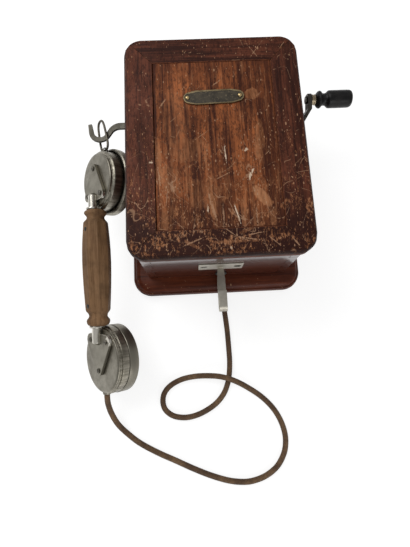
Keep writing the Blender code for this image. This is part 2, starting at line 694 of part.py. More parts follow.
def finger_outline(half_length, first_is_long):
    """A wall's outline along its length and the case's depth, with box-joint fingers at both ends."""
    step = CASE_DEPTH / FINGER_COUNT
    upper = []
    for k in range(FINGER_COUNT):
        long = (k % 2 == 0) == first_is_long
        reach = half_length if long else half_length - WALL - GAP
        low = CASE_BACK + k * step
        high = low + step
        if long and k > 0:
            low += GAP / 2
        if not long and k > 0:
            low -= GAP / 2
        if long and k < FINGER_COUNT - 1:
            high -= GAP / 2
        if not long and k < FINGER_COUNT - 1:
            high += GAP / 2
        upper.append((reach, low))
        upper.append((reach, high))
    return upper + [(-u, v) for u, v in reversed(upper)]


def case_walls():
    """Four walls with box joints: the hook's slot, the crank's hole and the cord's hole are cut in them."""
    side = finger_outline(HALF_CASE_HEIGHT, True)
    left = prism(side, -HALF_CASE_WIDTH, -INSIDE_X, "x")
    slot_low = (-HALF_CASE_WIDTH - OVERRUN, HOOK_PIVOT_Y - HOOK_ARM_WIDTH / 2 - HOOK_SLOT_PLAY,
                HOOK_Z - HOOK_SLOT_WIDTH / 2)
    slot_high = (-INSIDE_X + OVERRUN, HOOK_PIVOT_Y + HOOK_ARM_WIDTH / 2 + GAP * 2,
                 HOOK_Z + HOOK_SLOT_WIDTH / 2)
    piece("case_wall_left", combine(left, block(slot_low, slot_high)), "varnished_wood")
    right = prism(side, INSIDE_X, HALF_CASE_WIDTH, "x")
    hole = rod(CRANK_BUSH + GAP, INSIDE_X - OVERRUN, HALF_CASE_WIDTH + OVERRUN, (CRANK_Y, CRANK_Z), "x", 20)
    piece("case_wall_right", combine(right, hole), "varnished_wood")
    end = finger_outline(HALF_CASE_WIDTH, False)
    piece("case_wall_top", prism(end, INSIDE_Y, HALF_CASE_HEIGHT, "y"), "varnished_wood")
    bottom = prism(end, -HALF_CASE_HEIGHT, -INSIDE_Y, "y")
    hole = rod(CASE_BUSH_RADIUS + GAP, -HALF_CASE_HEIGHT - OVERRUN, -INSIDE_Y + OVERRUN,
               (CASE_BUSH_X, CASE_BUSH_Z), "y")
    bottom = combine(bottom, hole)
    half_width = SIDE_HOOK_PLATE_WIDTH / 2 + GAP
    half_height = SIDE_HOOK_PLATE_HEIGHT / 2 + GAP
    recess = block((SIDE_HOOK_X - half_width, -HALF_CASE_HEIGHT - OVERRUN, SIDE_HOOK_Z - half_height),
                   (SIDE_HOOK_X + half_width, -HALF_CASE_HEIGHT + SIDE_HOOK_RECESS,
                    SIDE_HOOK_Z + half_height))
    piece("case_wall_bottom", combine(bottom, recess), "varnished_wood")


def door_slab():
    """The whole door's outer form, before it is divided."""
    rings = []
    for inset_share, height_share in DOOR_EDGE_SHARES:
        inset = DOOR_ROUNDING * inset_share
        outline = rounded_rectangle(DOOR_WIDTH - 2 * inset, DOOR_HEIGHT - 2 * inset, DOOR_CORNER - inset)
        rings.append([Vector((u, v, DOOR_BACK + DOOR_THICKNESS * height_share)) for u, v in outline])
    return loft(rings)


def door(hinge):
    """Two stiles and two rails, mitred at the corners, round a panel that seats in their rebate."""
    half = Vector((DOOR_WIDTH / 2, DOOR_HEIGHT / 2))
    inner_x = half.x - STILE_WIDTH
    inner_top = half.y - TOP_RAIL_WIDTH
    inner_bottom = -half.y + BOTTOM_RAIL_WIDTH
    mitre_top_left = ((-half.x, half.y), (-inner_x, inner_top))
    mitre_top_right = ((half.x, half.y), (inner_x, inner_top))
    mitre_bottom_left = ((-half.x, -half.y), (-inner_x, inner_bottom))
    mitre_bottom_right = ((half.x, -half.y), (inner_x, inner_bottom))
    members = (
        ("door_stile_left", (-1, 0), mitre_top_left, mitre_bottom_left),
        ("door_stile_right", (1, 0), mitre_top_right, mitre_bottom_right),
        ("door_rail_top", (0, 1), mitre_top_left, mitre_top_right),
        ("door_rail_bottom", (0, -1), mitre_bottom_left, mitre_bottom_right),
    )
    for name, outward, *mitres in members:
        member = door_slab()
        inner = Vector((mitres[0][1][0], mitres[0][1][1], 0.0))
        member = keep_side(member, inner, Vector((-outward[0], -outward[1], 0.0)))
        for outer, corner in mitres:
            line = (Vector(outer) - Vector(corner)).normalized()
            normal = Vector((-line.y, line.x, 0.0))
            middle = (Vector(mitres[0][1]) + Vector(mitres[1][1])) / 2
            if normal.xy.dot(middle - Vector(corner)) > 0:
                normal = -normal
            member = keep_side(member, Vector((*corner, 0.0)) - normal * GAP / 2, normal)
        rebate = block((-inner_x - PANEL_LIP, inner_bottom - PANEL_LIP, DOOR_BACK - OVERRUN),
                       (inner_x + PANEL_LIP, inner_top + PANEL_LIP, DOOR_BACK + PANEL_LIP_THICKNESS))
        member = combine(member, rebate)
        if name == "door_stile_left":
            for side in (-1, 1):
                member = combine(member, hinge_mortise(side * HINGE_Y))
        piece(name, member, "varnished_wood", hinge)
    lip = PANEL_LIP - GAP
    levels = ((lip, DOOR_BACK), (lip, DOOR_BACK + PANEL_LIP_THICKNESS - GAP),
              (-GAP, DOOR_BACK + PANEL_LIP_THICKNESS - GAP), (-GAP, PANEL_FRONT - PANEL_BEVEL),
              (-GAP - PANEL_BEVEL, PANEL_FRONT))
    rings = []
    for out, level in levels:
        corners = ((inner_x + out, inner_top + out), (-inner_x - out, inner_top + out),
                   (-inner_x - out, inner_bottom - out), (inner_x + out, inner_bottom - out))
        rings.append([Vector((u, v, level)) for u, v in corners])
    panel = loft(rings)
    for side in (-1, 1):
        panel = combine(panel, hinge_mortise(side * HINGE_Y))
    piece("door_panel", panel, "varnished_wood", hinge)


def name_plate(hinge):
    """A bare plate with shouldered round ends, held by two domed pins."""
    tilt = Matrix.Rotation(math.radians(PLATE_TILT_DEGREES), 4, "Z")
    place = Matrix.Translation((0.0, PLATE_CENTRE_Y, PANEL_FRONT + GAP)) @ tilt
    end_x = PLATE_LENGTH / 2 - PLATE_END_RADIUS
    shoulder = PLATE_LENGTH / 2 - 2 * PLATE_END_RADIUS
    outline = []
    for side in (1, -1):
        half = [(shoulder, -PLATE_HEIGHT / 2), (end_x, -PLATE_END_RADIUS)]
        half += [(end_x + PLATE_END_RADIUS * math.sin(math.pi * k / 6),
                  -PLATE_END_RADIUS * math.cos(math.pi * k / 6))
                 for k in range(1, 6)]
        half += [(end_x, PLATE_END_RADIUS), (shoulder, PLATE_HEIGHT / 2)]
        outline += [(side * u, side * v) for u, v in half]
    plate = prism(outline, 0.0, PLATE_THICKNESS)
    plate.transform(place)
    piece("name_plate", plate, "dark_plate", hinge)
    for side, name in ((-1, "name_plate_pin_left"), (1, "name_plate_pin_right")):
        pin = turned(scaled(PLATE_PIN_SHARES, PLATE_PIN_RADIUS, PLATE_PIN_HEIGHT, PLATE_THICKNESS + GAP),
                     (side * PLATE_PIN_REACH, 0.0), "z", SMALL_ROUND_COUNT)
        pin.transform(place)
        piece(name, pin, "brass", hinge)


def knuckle_outline(leaf):
    """The section of a hinge leaf with its knuckle, about the hinge's axis."""
    arc = circle(HINGE_KNUCKLE, 16)
    wall = -HALF_CASE_WIDTH - HINGE_X - GAP
    if leaf == "case":
        inner = wall - HINGE_LEAF
        return arc[:12] + [(0.0, -HINGE_KNUCKLE), (inner, -HINGE_KNUCKLE), (inner, -HINGE_LEAF_REACH),
                           (wall, -HINGE_LEAF_REACH), (wall, 0.0)]
    floor = DOOR_BACK + GAP - HINGE_Z
    ceiling = floor + HINGE_LEAF
    return arc[:4] + [(0.0, HINGE_KNUCKLE), (0.0, floor), (HINGE_LEAF_REACH, floor),
                      (HINGE_LEAF_REACH, ceiling),
                      (-HINGE_KNUCKLE, ceiling), (-HINGE_KNUCKLE, 0.0)] + arc[9:]


def hinge_mortise(centre_y):
    """The space that the door leaf fills in the back of the door."""
    reach = HINGE_LENGTH / 2 + GAP
    return block((-DOOR_WIDTH / 2 - OVERRUN, centre_y - reach, DOOR_BACK - OVERRUN),
                 (HINGE_X + HINGE_LEAF_REACH + GAP, centre_y + reach, DOOR_BACK + 2 * GAP + HINGE_LEAF))


def knuckle_space(low, high):
    """The space round the hinge's axis that one leaf leaves to the other's knuckle."""
    reach = HINGE_KNUCKLE + GAP
    return block((HINGE_X - 2 * reach, low, HINGE_Z - reach), (HINGE_X + 2 * reach, high, HINGE_Z + reach))


def hinges(hinge):
    """Two butt hinges under the door's left edge: a leaf with the pin on the case, a leaf on the door."""
    third = HINGE_LENGTH / 6
    centre = (HINGE_X, HINGE_Z)
    for side, name in ((1, "upper"), (-1, "lower")):
        middle = side * HINGE_Y
        low = middle - HINGE_LENGTH / 2
        high = middle + HINGE_LENGTH / 2
        leaf = prism(shifted(knuckle_outline("case"), centre), low, high, "y")
        leaf = combine(leaf, knuckle_space(middle - third, middle + third))
        pin = turned(((HINGE_PIN_HEAD, low - HINGE_PIN_HEAD), (HINGE_PIN_HEAD, low + GAP),
                      (HINGE_PIN, low + GAP),
                      (HINGE_PIN, high - GAP), (HINGE_PIN_HEAD, high - GAP),
                      (HINGE_PIN_HEAD, high + HINGE_PIN_HEAD)),
                     centre, "y", 10)
        piece("hinge_leaf_case_" + name, combine(leaf, pin, "UNION"), "brass")
        leaf = prism(shifted(knuckle_outline("door"), centre), low, high, "y")
        leaf = combine(leaf, knuckle_space(low - OVERRUN, middle - third + GAP))
        leaf = combine(leaf, knuckle_space(middle + third - GAP, high + OVERRUN))
        leaf = combine(leaf, rod(HINGE_PIN + GAP, low - OVERRUN, high + OVERRUN, centre, "y"))
        piece("hinge_leaf_door_" + name, leaf, "brass", hinge)


def door_catch(hinge):
    """A tongue on the door's back that springs into a clip on the right wall."""
    inner = INSIDE_X - CATCH_FROM_WALL
    low = -CATCH_WIDTH / 2
    top = DOOR_BACK - GAP
    outline = ((inner - CATCH_FOOT, top - CATCH_TONGUE), (inner - CATCH_TONGUE, top - CATCH_TONGUE),
               (inner - CATCH_TONGUE, top - CATCH_TONGUE_DROP), (inner, top - CATCH_TONGUE_DROP),
               (inner, top),
               (inner - CATCH_FOOT, top))
    piece("door_catch_tongue", prism(outline, low, low + CATCH_WIDTH, "y"), "brass", hinge)
    face = INSIDE_X - GAP
    base = top - CATCH_TONGUE_DROP
    near = inner + GAP + CATCH_SPRING
    far = inner - CATCH_TONGUE - GAP - CATCH_SPRING
    outline = ((face, base + CATCH_SPRING * 2), (face, base - CATCH_FOOT),
               (face - CATCH_SPRING, base - CATCH_FOOT),
               (face - CATCH_SPRING, base - CATCH_SPRING * 2), (far, base - CATCH_SPRING * 2),
               (far, base + CATCH_FOOT / 2),
               (far + CATCH_SPRING, base + CATCH_FOOT / 2), (far + CATCH_SPRING, base - CATCH_SPRING),
               (near - CATCH_SPRING, base - CATCH_SPRING), (near - CATCH_SPRING, base + CATCH_FOOT / 2),
               (near, base + CATCH_FOOT / 2), (near, base - CATCH_SPRING),
               (face - CATCH_SPRING, base - CATCH_SPRING),
               (face - CATCH_SPRING, base + CATCH_SPRING * 2))
    piece("door_catch_clip", prism(outline, low, low + CATCH_WIDTH, "y"), "brass")


def hook_line(tip=HOOK_TIP, bowl_degrees=HOOK_BOWL_DEGREES):
    """The switch hook's middle line, from its tail past the pivot to its bowl and tip."""
    start = (HOOK_PIVOT_X + HOOK_TAIL, HOOK_PIVOT_Y)
    moves = (("run", HOOK_TAIL), ("run", HOOK_ARM), ("arc", HOOK_BEND_RADIUS, HOOK_BEND_DEGREES),
             ("run", HOOK_SLOPE), ("arc", HOOK_BOWL_RADIUS, -bowl_degrees), ("run", tip))
    return stroke(start, 180.0, moves)


def switch_hook(pivot):
    """The lever that the handset hangs on, its bracket and pivot, and the contact springs that lift it."""
    line = hook_line()
    widths = [HOOK_ARM_WIDTH / 2] * 3
    bends = len(line) - 4
    for k in range(bends):
        share = min(1.0, 2.0 * k / bends)
        widths.append((HOOK_ARM_WIDTH + (HOOK_BOWL_WIDTH - HOOK_ARM_WIDTH) * share) / 2)
    widths.append(HOOK_TIP_WIDTH / 2)
    low = HOOK_Z - HOOK_THICKNESS / 2
    high = HOOK_Z + HOOK_THICKNESS / 2
    lever = prism(ribbon(line, widths), low, high)
    hub = rod(HOOK_HUB_RADIUS, low, high, (HOOK_PIVOT_X, HOOK_PIVOT_Y), "z", 20)
    lever = combine(lever, hub, "UNION")
    bore = rod(HOOK_PIN_RADIUS + GAP, low - OVERRUN, high + OVERRUN, (HOOK_PIVOT_X, HOOK_PIVOT_Y))
    lever = combine(lever, bore)
    piece("hook_lever", lever, "nickel", pivot)

    seat = low - GAP
    foot = -INSIDE_X + GAP
    half = HOOK_BRACKET_FOOT / 2
    thickness = HOOK_BRACKET_THICKNESS
    reach = HOOK_PIVOT_X + HOOK_HUB_RADIUS
    section = ((foot, seat - HOOK_BRACKET_FOOT), (foot + thickness, seat - HOOK_BRACKET_FOOT),
               (foot + thickness, seat - thickness), (reach, seat - thickness), (reach, seat), (foot, seat))
    bracket = prism(section, HOOK_PIVOT_Y - half, HOOK_PIVOT_Y + half, "y")
    pin_profile = ((HOOK_PIN_RADIUS, seat - thickness / 2), (HOOK_PIN_RADIUS, high + GAP),
                   (HOOK_PIN_HEAD, high + GAP),
                   (HOOK_PIN_HEAD, high + GAP + HOOK_PIN_HEAD_HEIGHT))
    pin = turned(pin_profile, (HOOK_PIVOT_X, HOOK_PIVOT_Y), "z", SMALL_ROUND_COUNT)
    piece("hook_bracket", combine(bracket, pin, "UNION"), "brass")

    tail = HOOK_PIVOT_X + HOOK_TAIL
    first = HOOK_PIVOT_Y + HOOK_ARM_WIDTH / 2 + SPRING_LIFT
    block_low = SPRING_BLOCK_END - SPRING_BLOCK
    deep = SPRING_BLOCK_DEPTH / 2
    stack = block((block_low, first - SPRING_SPACING, FLOOR_INSIDE),
                  (block_low + SPRING_BLOCK, first - SPRING_SPACING + SPRING_BLOCK_HEIGHT, HOOK_Z + deep))
    for k in range(2):
        level = first + k * SPRING_SPACING
        slit = block((block_low - OVERRUN, level - GAP, HOOK_Z - SPRING_WIDTH / 2 - GAP),
                     (block_low + SPRING_BLOCK + OVERRUN, level + SPRING_LEAF + GAP,
                      HOOK_Z + deep + OVERRUN))
        stack = combine(stack, slit)
        leaf = block((tail - SPRING_SPACING - k * SPRING_LEAF, level, HOOK_Z - SPRING_WIDTH / 2),
                     (block_low + SPRING_BLOCK, level + SPRING_LEAF, HOOK_Z + SPRING_WIDTH / 2))
        button = rod(SPRING_CONTACT, level - SPRING_CONTACT / 2, level + SPRING_LEAF + SPRING_CONTACT / 2,
                     (tail, HOOK_Z), "y", 12)
        piece("contact_spring_" + str(k + 1), combine(leaf, button, "UNION"), "brass")
    piece("contact_block", stack, "ebonite")


def crank(spin, knob_spin):
    """The crank: a bush through the wall, the geared shaft, the cranked arm, and the knob on its spindle."""
    centre = (CRANK_Y, CRANK_Z)
    wall = HALF_CASE_WIDTH + GAP
    flange = wall + CRANK_BUSH_FLANGE_THICKNESS
    bush = turned(((CRANK_BUSH, INSIDE_X - GAP), (CRANK_BUSH, wall), (CRANK_BUSH_FLANGE, wall),
                   (CRANK_BUSH_FLANGE, flange - EASED_EDGE), (CRANK_BUSH_FLANGE - EASED_EDGE, flange)),
                   centre, "x", 20)
    bore = rod(CRANK_SHAFT + RUNNING_GAP, INSIDE_X - OVERRUN, flange + OVERRUN, centre, "x")
    piece("crank_bush", combine(bush, bore), "nickel")

    hub_end = CRANK_HUB_X + CRANK_ARM_THICKNESS
    shaft = turned(((CRANK_SHAFT, CRANK_SHAFT_INSIDE), (CRANK_SHAFT, flange + GAP),
                    (CRANK_COLLAR, flange + GAP),
                    (CRANK_COLLAR, CRANK_HUB_X - GAP), (CRANK_SHAFT, CRANK_HUB_X - GAP),
                    (CRANK_SHAFT, hub_end + GAP),
                    (CRANK_NUT, hub_end + GAP), (CRANK_NUT, hub_end + GAP + CRANK_NUT_THICKNESS)),
                   centre, "x", SMALL_ROUND_COUNT)
    piece("crank_shaft", shaft, "steel", spin)

    reach = Vector((KNOB_Y - CRANK_Y, KNOB_Z - CRANK_Z))
    length = reach.length
    outer = KNOB_ARM_X
    sections = ((-CRANK_HUB, 0.55, 0.0), (-CRANK_HUB * 0.7, 0.8, 0.0), (0.0, 1.0, 0.0),
                (CRANK_HUB, 0.95, 0.0),
                (length - CRANK_ARM_FLAT, 0.85, 1.0), (length, 0.83, 1.0),
                (length + CRANK_ARM_END * 0.7, 0.62, 1.0),
                (length + CRANK_ARM_END, 0.4, 1.0))
    rings = []
    for along, width_share, out_share in sections:
        half = CRANK_HUB * width_share
        x = CRANK_HUB_X + (outer - CRANK_HUB_X) * out_share
        corners = ((x, -half), (x + CRANK_ARM_THICKNESS, -half), (x + CRANK_ARM_THICKNESS, half), (x, half))
        rings.append([Vector((u, along, v)) for u, v in corners])
    arm = loft(rings)
    turn = Matrix.Rotation(math.atan2(reach.y, reach.x), 4, "X")
    arm.transform(Matrix.Translation((0.0, CRANK_Y, CRANK_Z)) @ turn)
    arm = combine(arm, rod(CRANK_SHAFT + GAP, CRANK_HUB_X - OVERRUN, hub_end + OVERRUN, centre, "x"))
    knob_centre = (KNOB_Y, KNOB_Z)
    arm_face = outer + CRANK_ARM_THICKNESS
    arm = combine(arm, rod(KNOB_SPINDLE + GAP, outer - OVERRUN, arm_face + OVERRUN, knob_centre, "x"))
    piece("crank_arm", arm, "steel", spin)

    ferrule = turned(((FERRULE_RADIUS, arm_face + GAP), (FERRULE_RADIUS, arm_face + GAP + FERRULE_LENGTH)),
                     knob_centre, "x", 20)
    ferrule = combine(ferrule, rod(KNOB_SPINDLE + GAP, arm_face - OVERRUN, KNOB_X + OVERRUN, knob_centre,
                                   "x"))
    piece("crank_ferrule", ferrule, "nickel", spin)

    end = KNOB_X + KNOB_LENGTH
    rivet = KNOB_RIVET_HEIGHT
    spindle = turned(((KNOB_RIVET, outer - GAP - rivet), (KNOB_RIVET, outer - GAP),
                      (KNOB_SPINDLE, outer - GAP),
                      (KNOB_SPINDLE, end - rivet + GAP), (KNOB_RIVET, end - rivet + GAP),
                      (KNOB_RIVET, end + GAP)),
                     knob_centre, "x", SMALL_ROUND_COUNT)
    piece("knob_spindle", spindle, "steel", spin)

    knob = turned(scaled(KNOB_SHARES, KNOB_RADIUS, KNOB_LENGTH, KNOB_X), knob_centre, "x", 20)
    knob = combine(knob, rod(KNOB_BORE, KNOB_X - OVERRUN, end + OVERRUN, knob_centre, "x"))
    knob = combine(knob, rod(KNOB_RIVET + GAP, end - rivet, end + OVERRUN, knob_centre, "x"))
    piece("crank_knob", knob, "ebonite", knob_spin)


def magneto(spin, armature_spin):
    """The generator: drive gear and pinion, end plates, horseshoe magnets, pole pieces and armature."""
    centre = (CRANK_Y, CRANK_Z)
    axis = (ARMATURE_Y, ARMATURE_Z)
    gear = prism(shifted(gear_outline(GEAR_TEETH, GEAR_TOOTH_SHARES, MAGNETO_ANGLE), centre),
                 GEAR_X, GEAR_X + GEAR_WIDTH, "x")
    hub = rod(GEAR_HUB, GEAR_X + GEAR_WIDTH / 2, GEAR_X + GEAR_WIDTH + GEAR_HUB_LENGTH, centre, "x", 16)
    gear = combine(gear, hub, "UNION")
    gear = combine(gear, rod(CRANK_SHAFT + GAP, GEAR_X - OVERRUN, GEAR_X + GEAR_WIDTH + 2 * OVERRUN, centre,
                             "x"))
    piece("drive_gear", gear, "brass", spin)

    opposite = MAGNETO_ANGLE + math.pi + math.pi / PINION_TEETH
    pinion = prism(shifted(gear_outline(PINION_TEETH, PINION_TOOTH_SHARES, opposite), axis),
                   GEAR_X, GEAR_X + GEAR_WIDTH, "x")
    pinion = combine(pinion, rod(ARMATURE_SHAFT + GAP, GEAR_X - OVERRUN, GEAR_X + GEAR_WIDTH + OVERRUN,
                                 axis, "x"))
    piece("magneto_pinion", pinion, "steel", armature_spin)

    left = MAGNETO_LEFT_X
    margin = MAGNETO_PLATE_MARGIN
    plate_foot = FLOOR_INSIDE + margin
    plate_far = ARMATURE_Y + MAGNET_INNER
    outline = hull_of_circles(((CRANK_Y, CRANK_Z, margin), (CRANK_Y, plate_foot, margin),
                               (plate_far, plate_foot, margin), (plate_far, ARMATURE_Z + margin, margin)),
                               4)
    for name, start in (("magneto_plate_left", left),
                        ("magneto_plate_right", MAGNETO_RIGHT_X - MAGNETO_PLATE)):
        plate = prism(outline, start, start + MAGNETO_PLATE, "x")
        for radius, place in ((CRANK_SHAFT + RUNNING_GAP, centre), (ARMATURE_SHAFT + RUNNING_GAP, axis)):
            plate = combine(plate, rod(radius, start - OVERRUN, start + MAGNETO_PLATE + OVERRUN, place,
                                       "x"))
        piece(name, plate, "brass")

    space = MAGNETO_RIGHT_X - left - 2 * MAGNETO_PLATE - 2 * GAP
    width = (space - (MAGNET_COUNT - 1) * MAGNET_SPACE) / MAGNET_COUNT
    inner = MAGNET_INNER
    outer = MAGNET_INNER + MAGNET_THICKNESS
    foot = FLOOR_INSIDE
    crown = foot + MAGNET_LEG + MAGNET_LEG / 2
    arch = [(outer, foot)]
    arch += [(outer * math.cos(math.pi * k / 12),
              crown + outer * math.sin(math.pi * k / 12)) for k in range(13)]
    arch += [(-outer, foot), (-inner, foot)]
    arch += [(-inner * math.cos(math.pi * k / 12),
              crown + inner * math.sin(math.pi * k / 12)) for k in range(13)]
    arch += [(inner, foot)]
    for k in range(MAGNET_COUNT):
        start = left + MAGNETO_PLATE + GAP + k * (width + MAGNET_SPACE)
        magnet = prism(shifted(arch, (ARMATURE_Y, 0.0)), start, start + width, "x")
        piece("magneto_magnet_" + str(k + 1), magnet, "magnet_red")

    tunnel = ARMATURE_RADIUS + RUNNING_GAP
    side = inner - GAP
    lean = math.asin(POLE_SPLIT / tunnel)
    start = left + MAGNETO_PLATE + GAP
    for sign, name in ((-1, "pole_piece_lower"), (1, "pole_piece_upper")):
        curve = [lean - math.pi / 2 + (math.pi - 2 * lean) * k / 8 for k in range(9)]
        outline = [(side, -POLE_HALF_HEIGHT), (side, POLE_HALF_HEIGHT), (POLE_SPLIT, POLE_HALF_HEIGHT)]
        outline += [(tunnel * math.cos(angle), tunnel * math.sin(angle)) for angle in reversed(curve)]
        outline += [(POLE_SPLIT, -POLE_HALF_HEIGHT)]
        pole = prism(shifted([(sign * u, v) for u, v in outline], axis), start, start + space, "x")
        piece("magneto_" + name, pole, "iron")

    cheek = [ARMATURE_RADIUS * math.cos(math.pi / 4), ARMATURE_WAIST]
    arc = [math.pi / 4 + math.pi / 2 * k / 6 for k in range(7)]
    top = [(ARMATURE_RADIUS * math.cos(angle), ARMATURE_RADIUS * math.sin(angle)) for angle in arc]
    ledge = ARMATURE_RADIUS * math.sin(math.pi / 4) - ARMATURE_WAIST
    outline = top + [(-cheek[0], ledge), (-cheek[1], ledge), (-cheek[1], -ledge), (-cheek[0], -ledge)]
    outline += [(-u, -v) for u, v in top]
    outline += [(cheek[0], -ledge), (cheek[1], -ledge), (cheek[1], ledge), (cheek[0], ledge)]
    core = prism(shifted(outline, axis), start + RUNNING_GAP, start + space - RUNNING_GAP, "x")
    shaft = rod(ARMATURE_SHAFT, left - GAP, GEAR_X + GEAR_WIDTH + GAP, axis, "x")
    piece("magneto_armature", combine(core, shaft, "UNION"), "iron", armature_spin)


def ringer(clapper_frame):
    """The polarised bell: a frame with two cores and coils, the rocking armature's clapper, and two gongs."""
    plate_low = FLOOR_INSIDE
    plate_high = plate_low + RINGER_PLATE
    gong_level = RINGER_AXIS_Z - GONG_DEPTH / 3
    wall = GONG_RADIUS * GONG_WALL_SHARE
    bend = [math.pi / 2 * k / GONG_RINGS for k in range(GONG_RINGS)]
    inner = [((GONG_RADIUS - wall) * math.cos(angle),
              gong_level + (GONG_DEPTH - wall) * math.sin(angle)) for angle in bend]
    outer = [(GONG_RADIUS * math.cos(angle), gong_level + GONG_DEPTH * math.sin(angle)) for angle in bend]
    post_top = inner[-1][1] - GAP
    armature_face = RINGER_ARMATURE_FACE
    pivot_y = CLAPPER_Y
    half = RINGER_PLATE_HALF
    frame = block((-half, GONG_Y + GONG_POST, plate_low), (half, RINGER_YOKE_Y, plate_high))
    bar = block((-GONG_X - GONG_POST, GONG_Y - GONG_POST, plate_low),
                (GONG_X + GONG_POST, GONG_Y + 2 * GONG_POST, plate_high))
    frame = combine(frame, bar, "UNION")
    yoke_half = COIL_X + COIL_RADIUS
    yoke = block((-yoke_half, RINGER_YOKE_Y - RINGER_YOKE, plate_low),
                 (yoke_half, RINGER_YOKE_Y, RINGER_AXIS_Z + COIL_RADIUS))
    frame = combine(frame, yoke, "UNION")
    core_end = armature_face + RINGER_AIR
    for side in (-1, 1):
        core = rod(COIL_CORE, core_end, RINGER_YOKE_Y - RINGER_YOKE / 2, (side * COIL_X, RINGER_AXIS_Z),
                   "y")
        frame = combine(frame, core, "UNION")
        post = rod(GONG_POST, plate_low + RINGER_PLATE / 2, post_top, (side * GONG_X, GONG_Y))
        frame = combine(frame, post, "UNION")
    stem = rod(RINGER_PIVOT, plate_low + RINGER_PLATE / 2, RINGER_AXIS_Z + RINGER_ARMATURE_DEPTH,
               (0.0, pivot_y), "z", 12)
    frame = combine(frame, stem, "UNION")
    piece("ringer_frame", frame, "steel")

    for side, name in ((-1, "ringer_coil_left"), (1, "ringer_coil_right")):
        start = core_end + GAP
        span = COIL_LENGTH
        cheek = span * COIL_CHEEK_SHARE
        coil = turned(((COIL_CHEEK, start), (COIL_CHEEK, start + cheek), (COIL_RADIUS, start + cheek),
                       (COIL_RADIUS, start + span - cheek), (COIL_CHEEK, start + span - cheek),
                       (COIL_CHEEK, start + span)),
                      (side * COIL_X, RINGER_AXIS_Z), "y", 18)
        bore = rod(COIL_CORE + GAP, start - OVERRUN, start + span + OVERRUN, (side * COIL_X, RINGER_AXIS_Z),
                   "y")
        piece(name, combine(coil, bore), "green_cotton")

    reach = RINGER_ARMATURE_HALF
    deep = RINGER_ARMATURE_DEPTH / 2
    armature = block((-reach, armature_face - RINGER_ARMATURE_THICKNESS, RINGER_AXIS_Z - deep),
                     (reach, armature_face, RINGER_AXIS_Z + deep))
    boss = rod(2 * RINGER_PIVOT + GAP, RINGER_AXIS_Z - deep, RINGER_AXIS_Z + deep, (0.0, pivot_y))
    armature = combine(armature, boss, "UNION")
    ball_y = pivot_y - CLAPPER_LENGTH
    arm = rod(CLAPPER_ROD, ball_y, pivot_y - 2 * RINGER_PIVOT, (0.0, RINGER_AXIS_Z), "y", 7)
    armature = combine(armature, arm, "UNION")
    arc = [math.pi * (k + 0.5) / 6 for k in range(6)]
    ball = turned([(CLAPPER_BALL * math.sin(angle),
                    ball_y - CLAPPER_BALL * math.cos(angle)) for angle in arc],
                  (0.0, RINGER_AXIS_Z), "y", 10)
    armature = combine(armature, ball, "UNION")
    bore = rod(RINGER_PIVOT + GAP, RINGER_AXIS_Z - deep - OVERRUN, RINGER_AXIS_Z + deep + OVERRUN,
               (0.0, pivot_y), "z", 12)
    piece("ringer_armature", combine(armature, bore), "iron", clapper_frame)

    crown = gong_level + GONG_DEPTH
    screw = [(GONG_SCREW, crown - wall / 2), (GONG_SCREW, crown + GONG_SCREW_HEIGHT)]
    profile = list(reversed(inner)) + outer + screw
    for side, name in ((-1, "gong_left"), (1, "gong_right")):
        piece(name, turned(profile, (side * GONG_X, GONG_Y), "z", 18), "brass")


def line_parts():
    """The induction coil with its core, the condenser and the terminal strip, all on the back board."""
    half = COUPLING_COIL_CHEEK / 2
    axis = (COUPLING_COIL_Y, FLOOR_INSIDE + half)
    start = COUPLING_COIL_X - COUPLING_COIL_LENGTH / 2
    end = start + COUPLING_COIL_LENGTH
    thickness = COUPLING_COIL_CHEEK_THICKNESS
    coil = rod(COUPLING_COIL_RADIUS, start + thickness / 2, end - thickness / 2, axis, "x", 20)
    for low in (start, end - thickness):
        cheek = block((low, axis[0] - half, axis[1] - half),
                      (low + thickness, axis[0] + half, axis[1] + half))
        coil = combine(coil, cheek, "UNION")
    coil = combine(coil, rod(COUPLING_CORE_RADIUS + GAP, start - OVERRUN, end + OVERRUN, axis, "x"))
    piece("induction_coil", coil, "green_cotton")
    core = rod(COUPLING_CORE_RADIUS, start - COUPLING_CORE_PROUD, end + COUPLING_CORE_PROUD, axis, "x")
    piece("induction_coil_core", core, "iron")

    can = prism(shifted(rounded_rectangle(CONDENSER_WIDTH, CONDENSER_LENGTH, CONDENSER_LUG * 2, 3),
                        (CONDENSER_X, CONDENSER_Y)), FLOOR_INSIDE, FLOOR_INSIDE + CONDENSER_HEIGHT)
    for side in (-1, 1):
        lug = rod(CONDENSER_LUG, FLOOR_INSIDE + CONDENSER_HEIGHT / 2,
                  FLOOR_INSIDE + CONDENSER_HEIGHT + CONDENSER_LUG_HEIGHT,
                  (CONDENSER_X + side * CONDENSER_WIDTH / 4, CONDENSER_Y), "z", 12)
        can = combine(can, lug, "UNION")
    piece("condenser", can, "nickel")

    half_width = TERMINAL_WIDTH / 2
    half_length = TERMINAL_LENGTH / 2
    strip = block((TERMINAL_X - half_width, TERMINAL_Y - half_length, FLOOR_INSIDE),
                  (TERMINAL_X + half_width, TERMINAL_Y + half_length, FLOOR_INSIDE + TERMINAL_HEIGHT))
    pitch = TERMINAL_LENGTH / TERMINAL_COUNT
    for k in range(TERMINAL_COUNT):
        y = TERMINAL_Y - half_length + pitch * (k + 0.5)
        screw = rod(TERMINAL_SCREW, FLOOR_INSIDE + TERMINAL_HEIGHT / 2,
                    FLOOR_INSIDE + TERMINAL_HEIGHT + TERMINAL_SCREW_HEIGHT,
                    (TERMINAL_X, y), "z", 12)
        strip = combine(strip, screw, "UNION")
    piece("terminal_strip", strip, "ebonite")


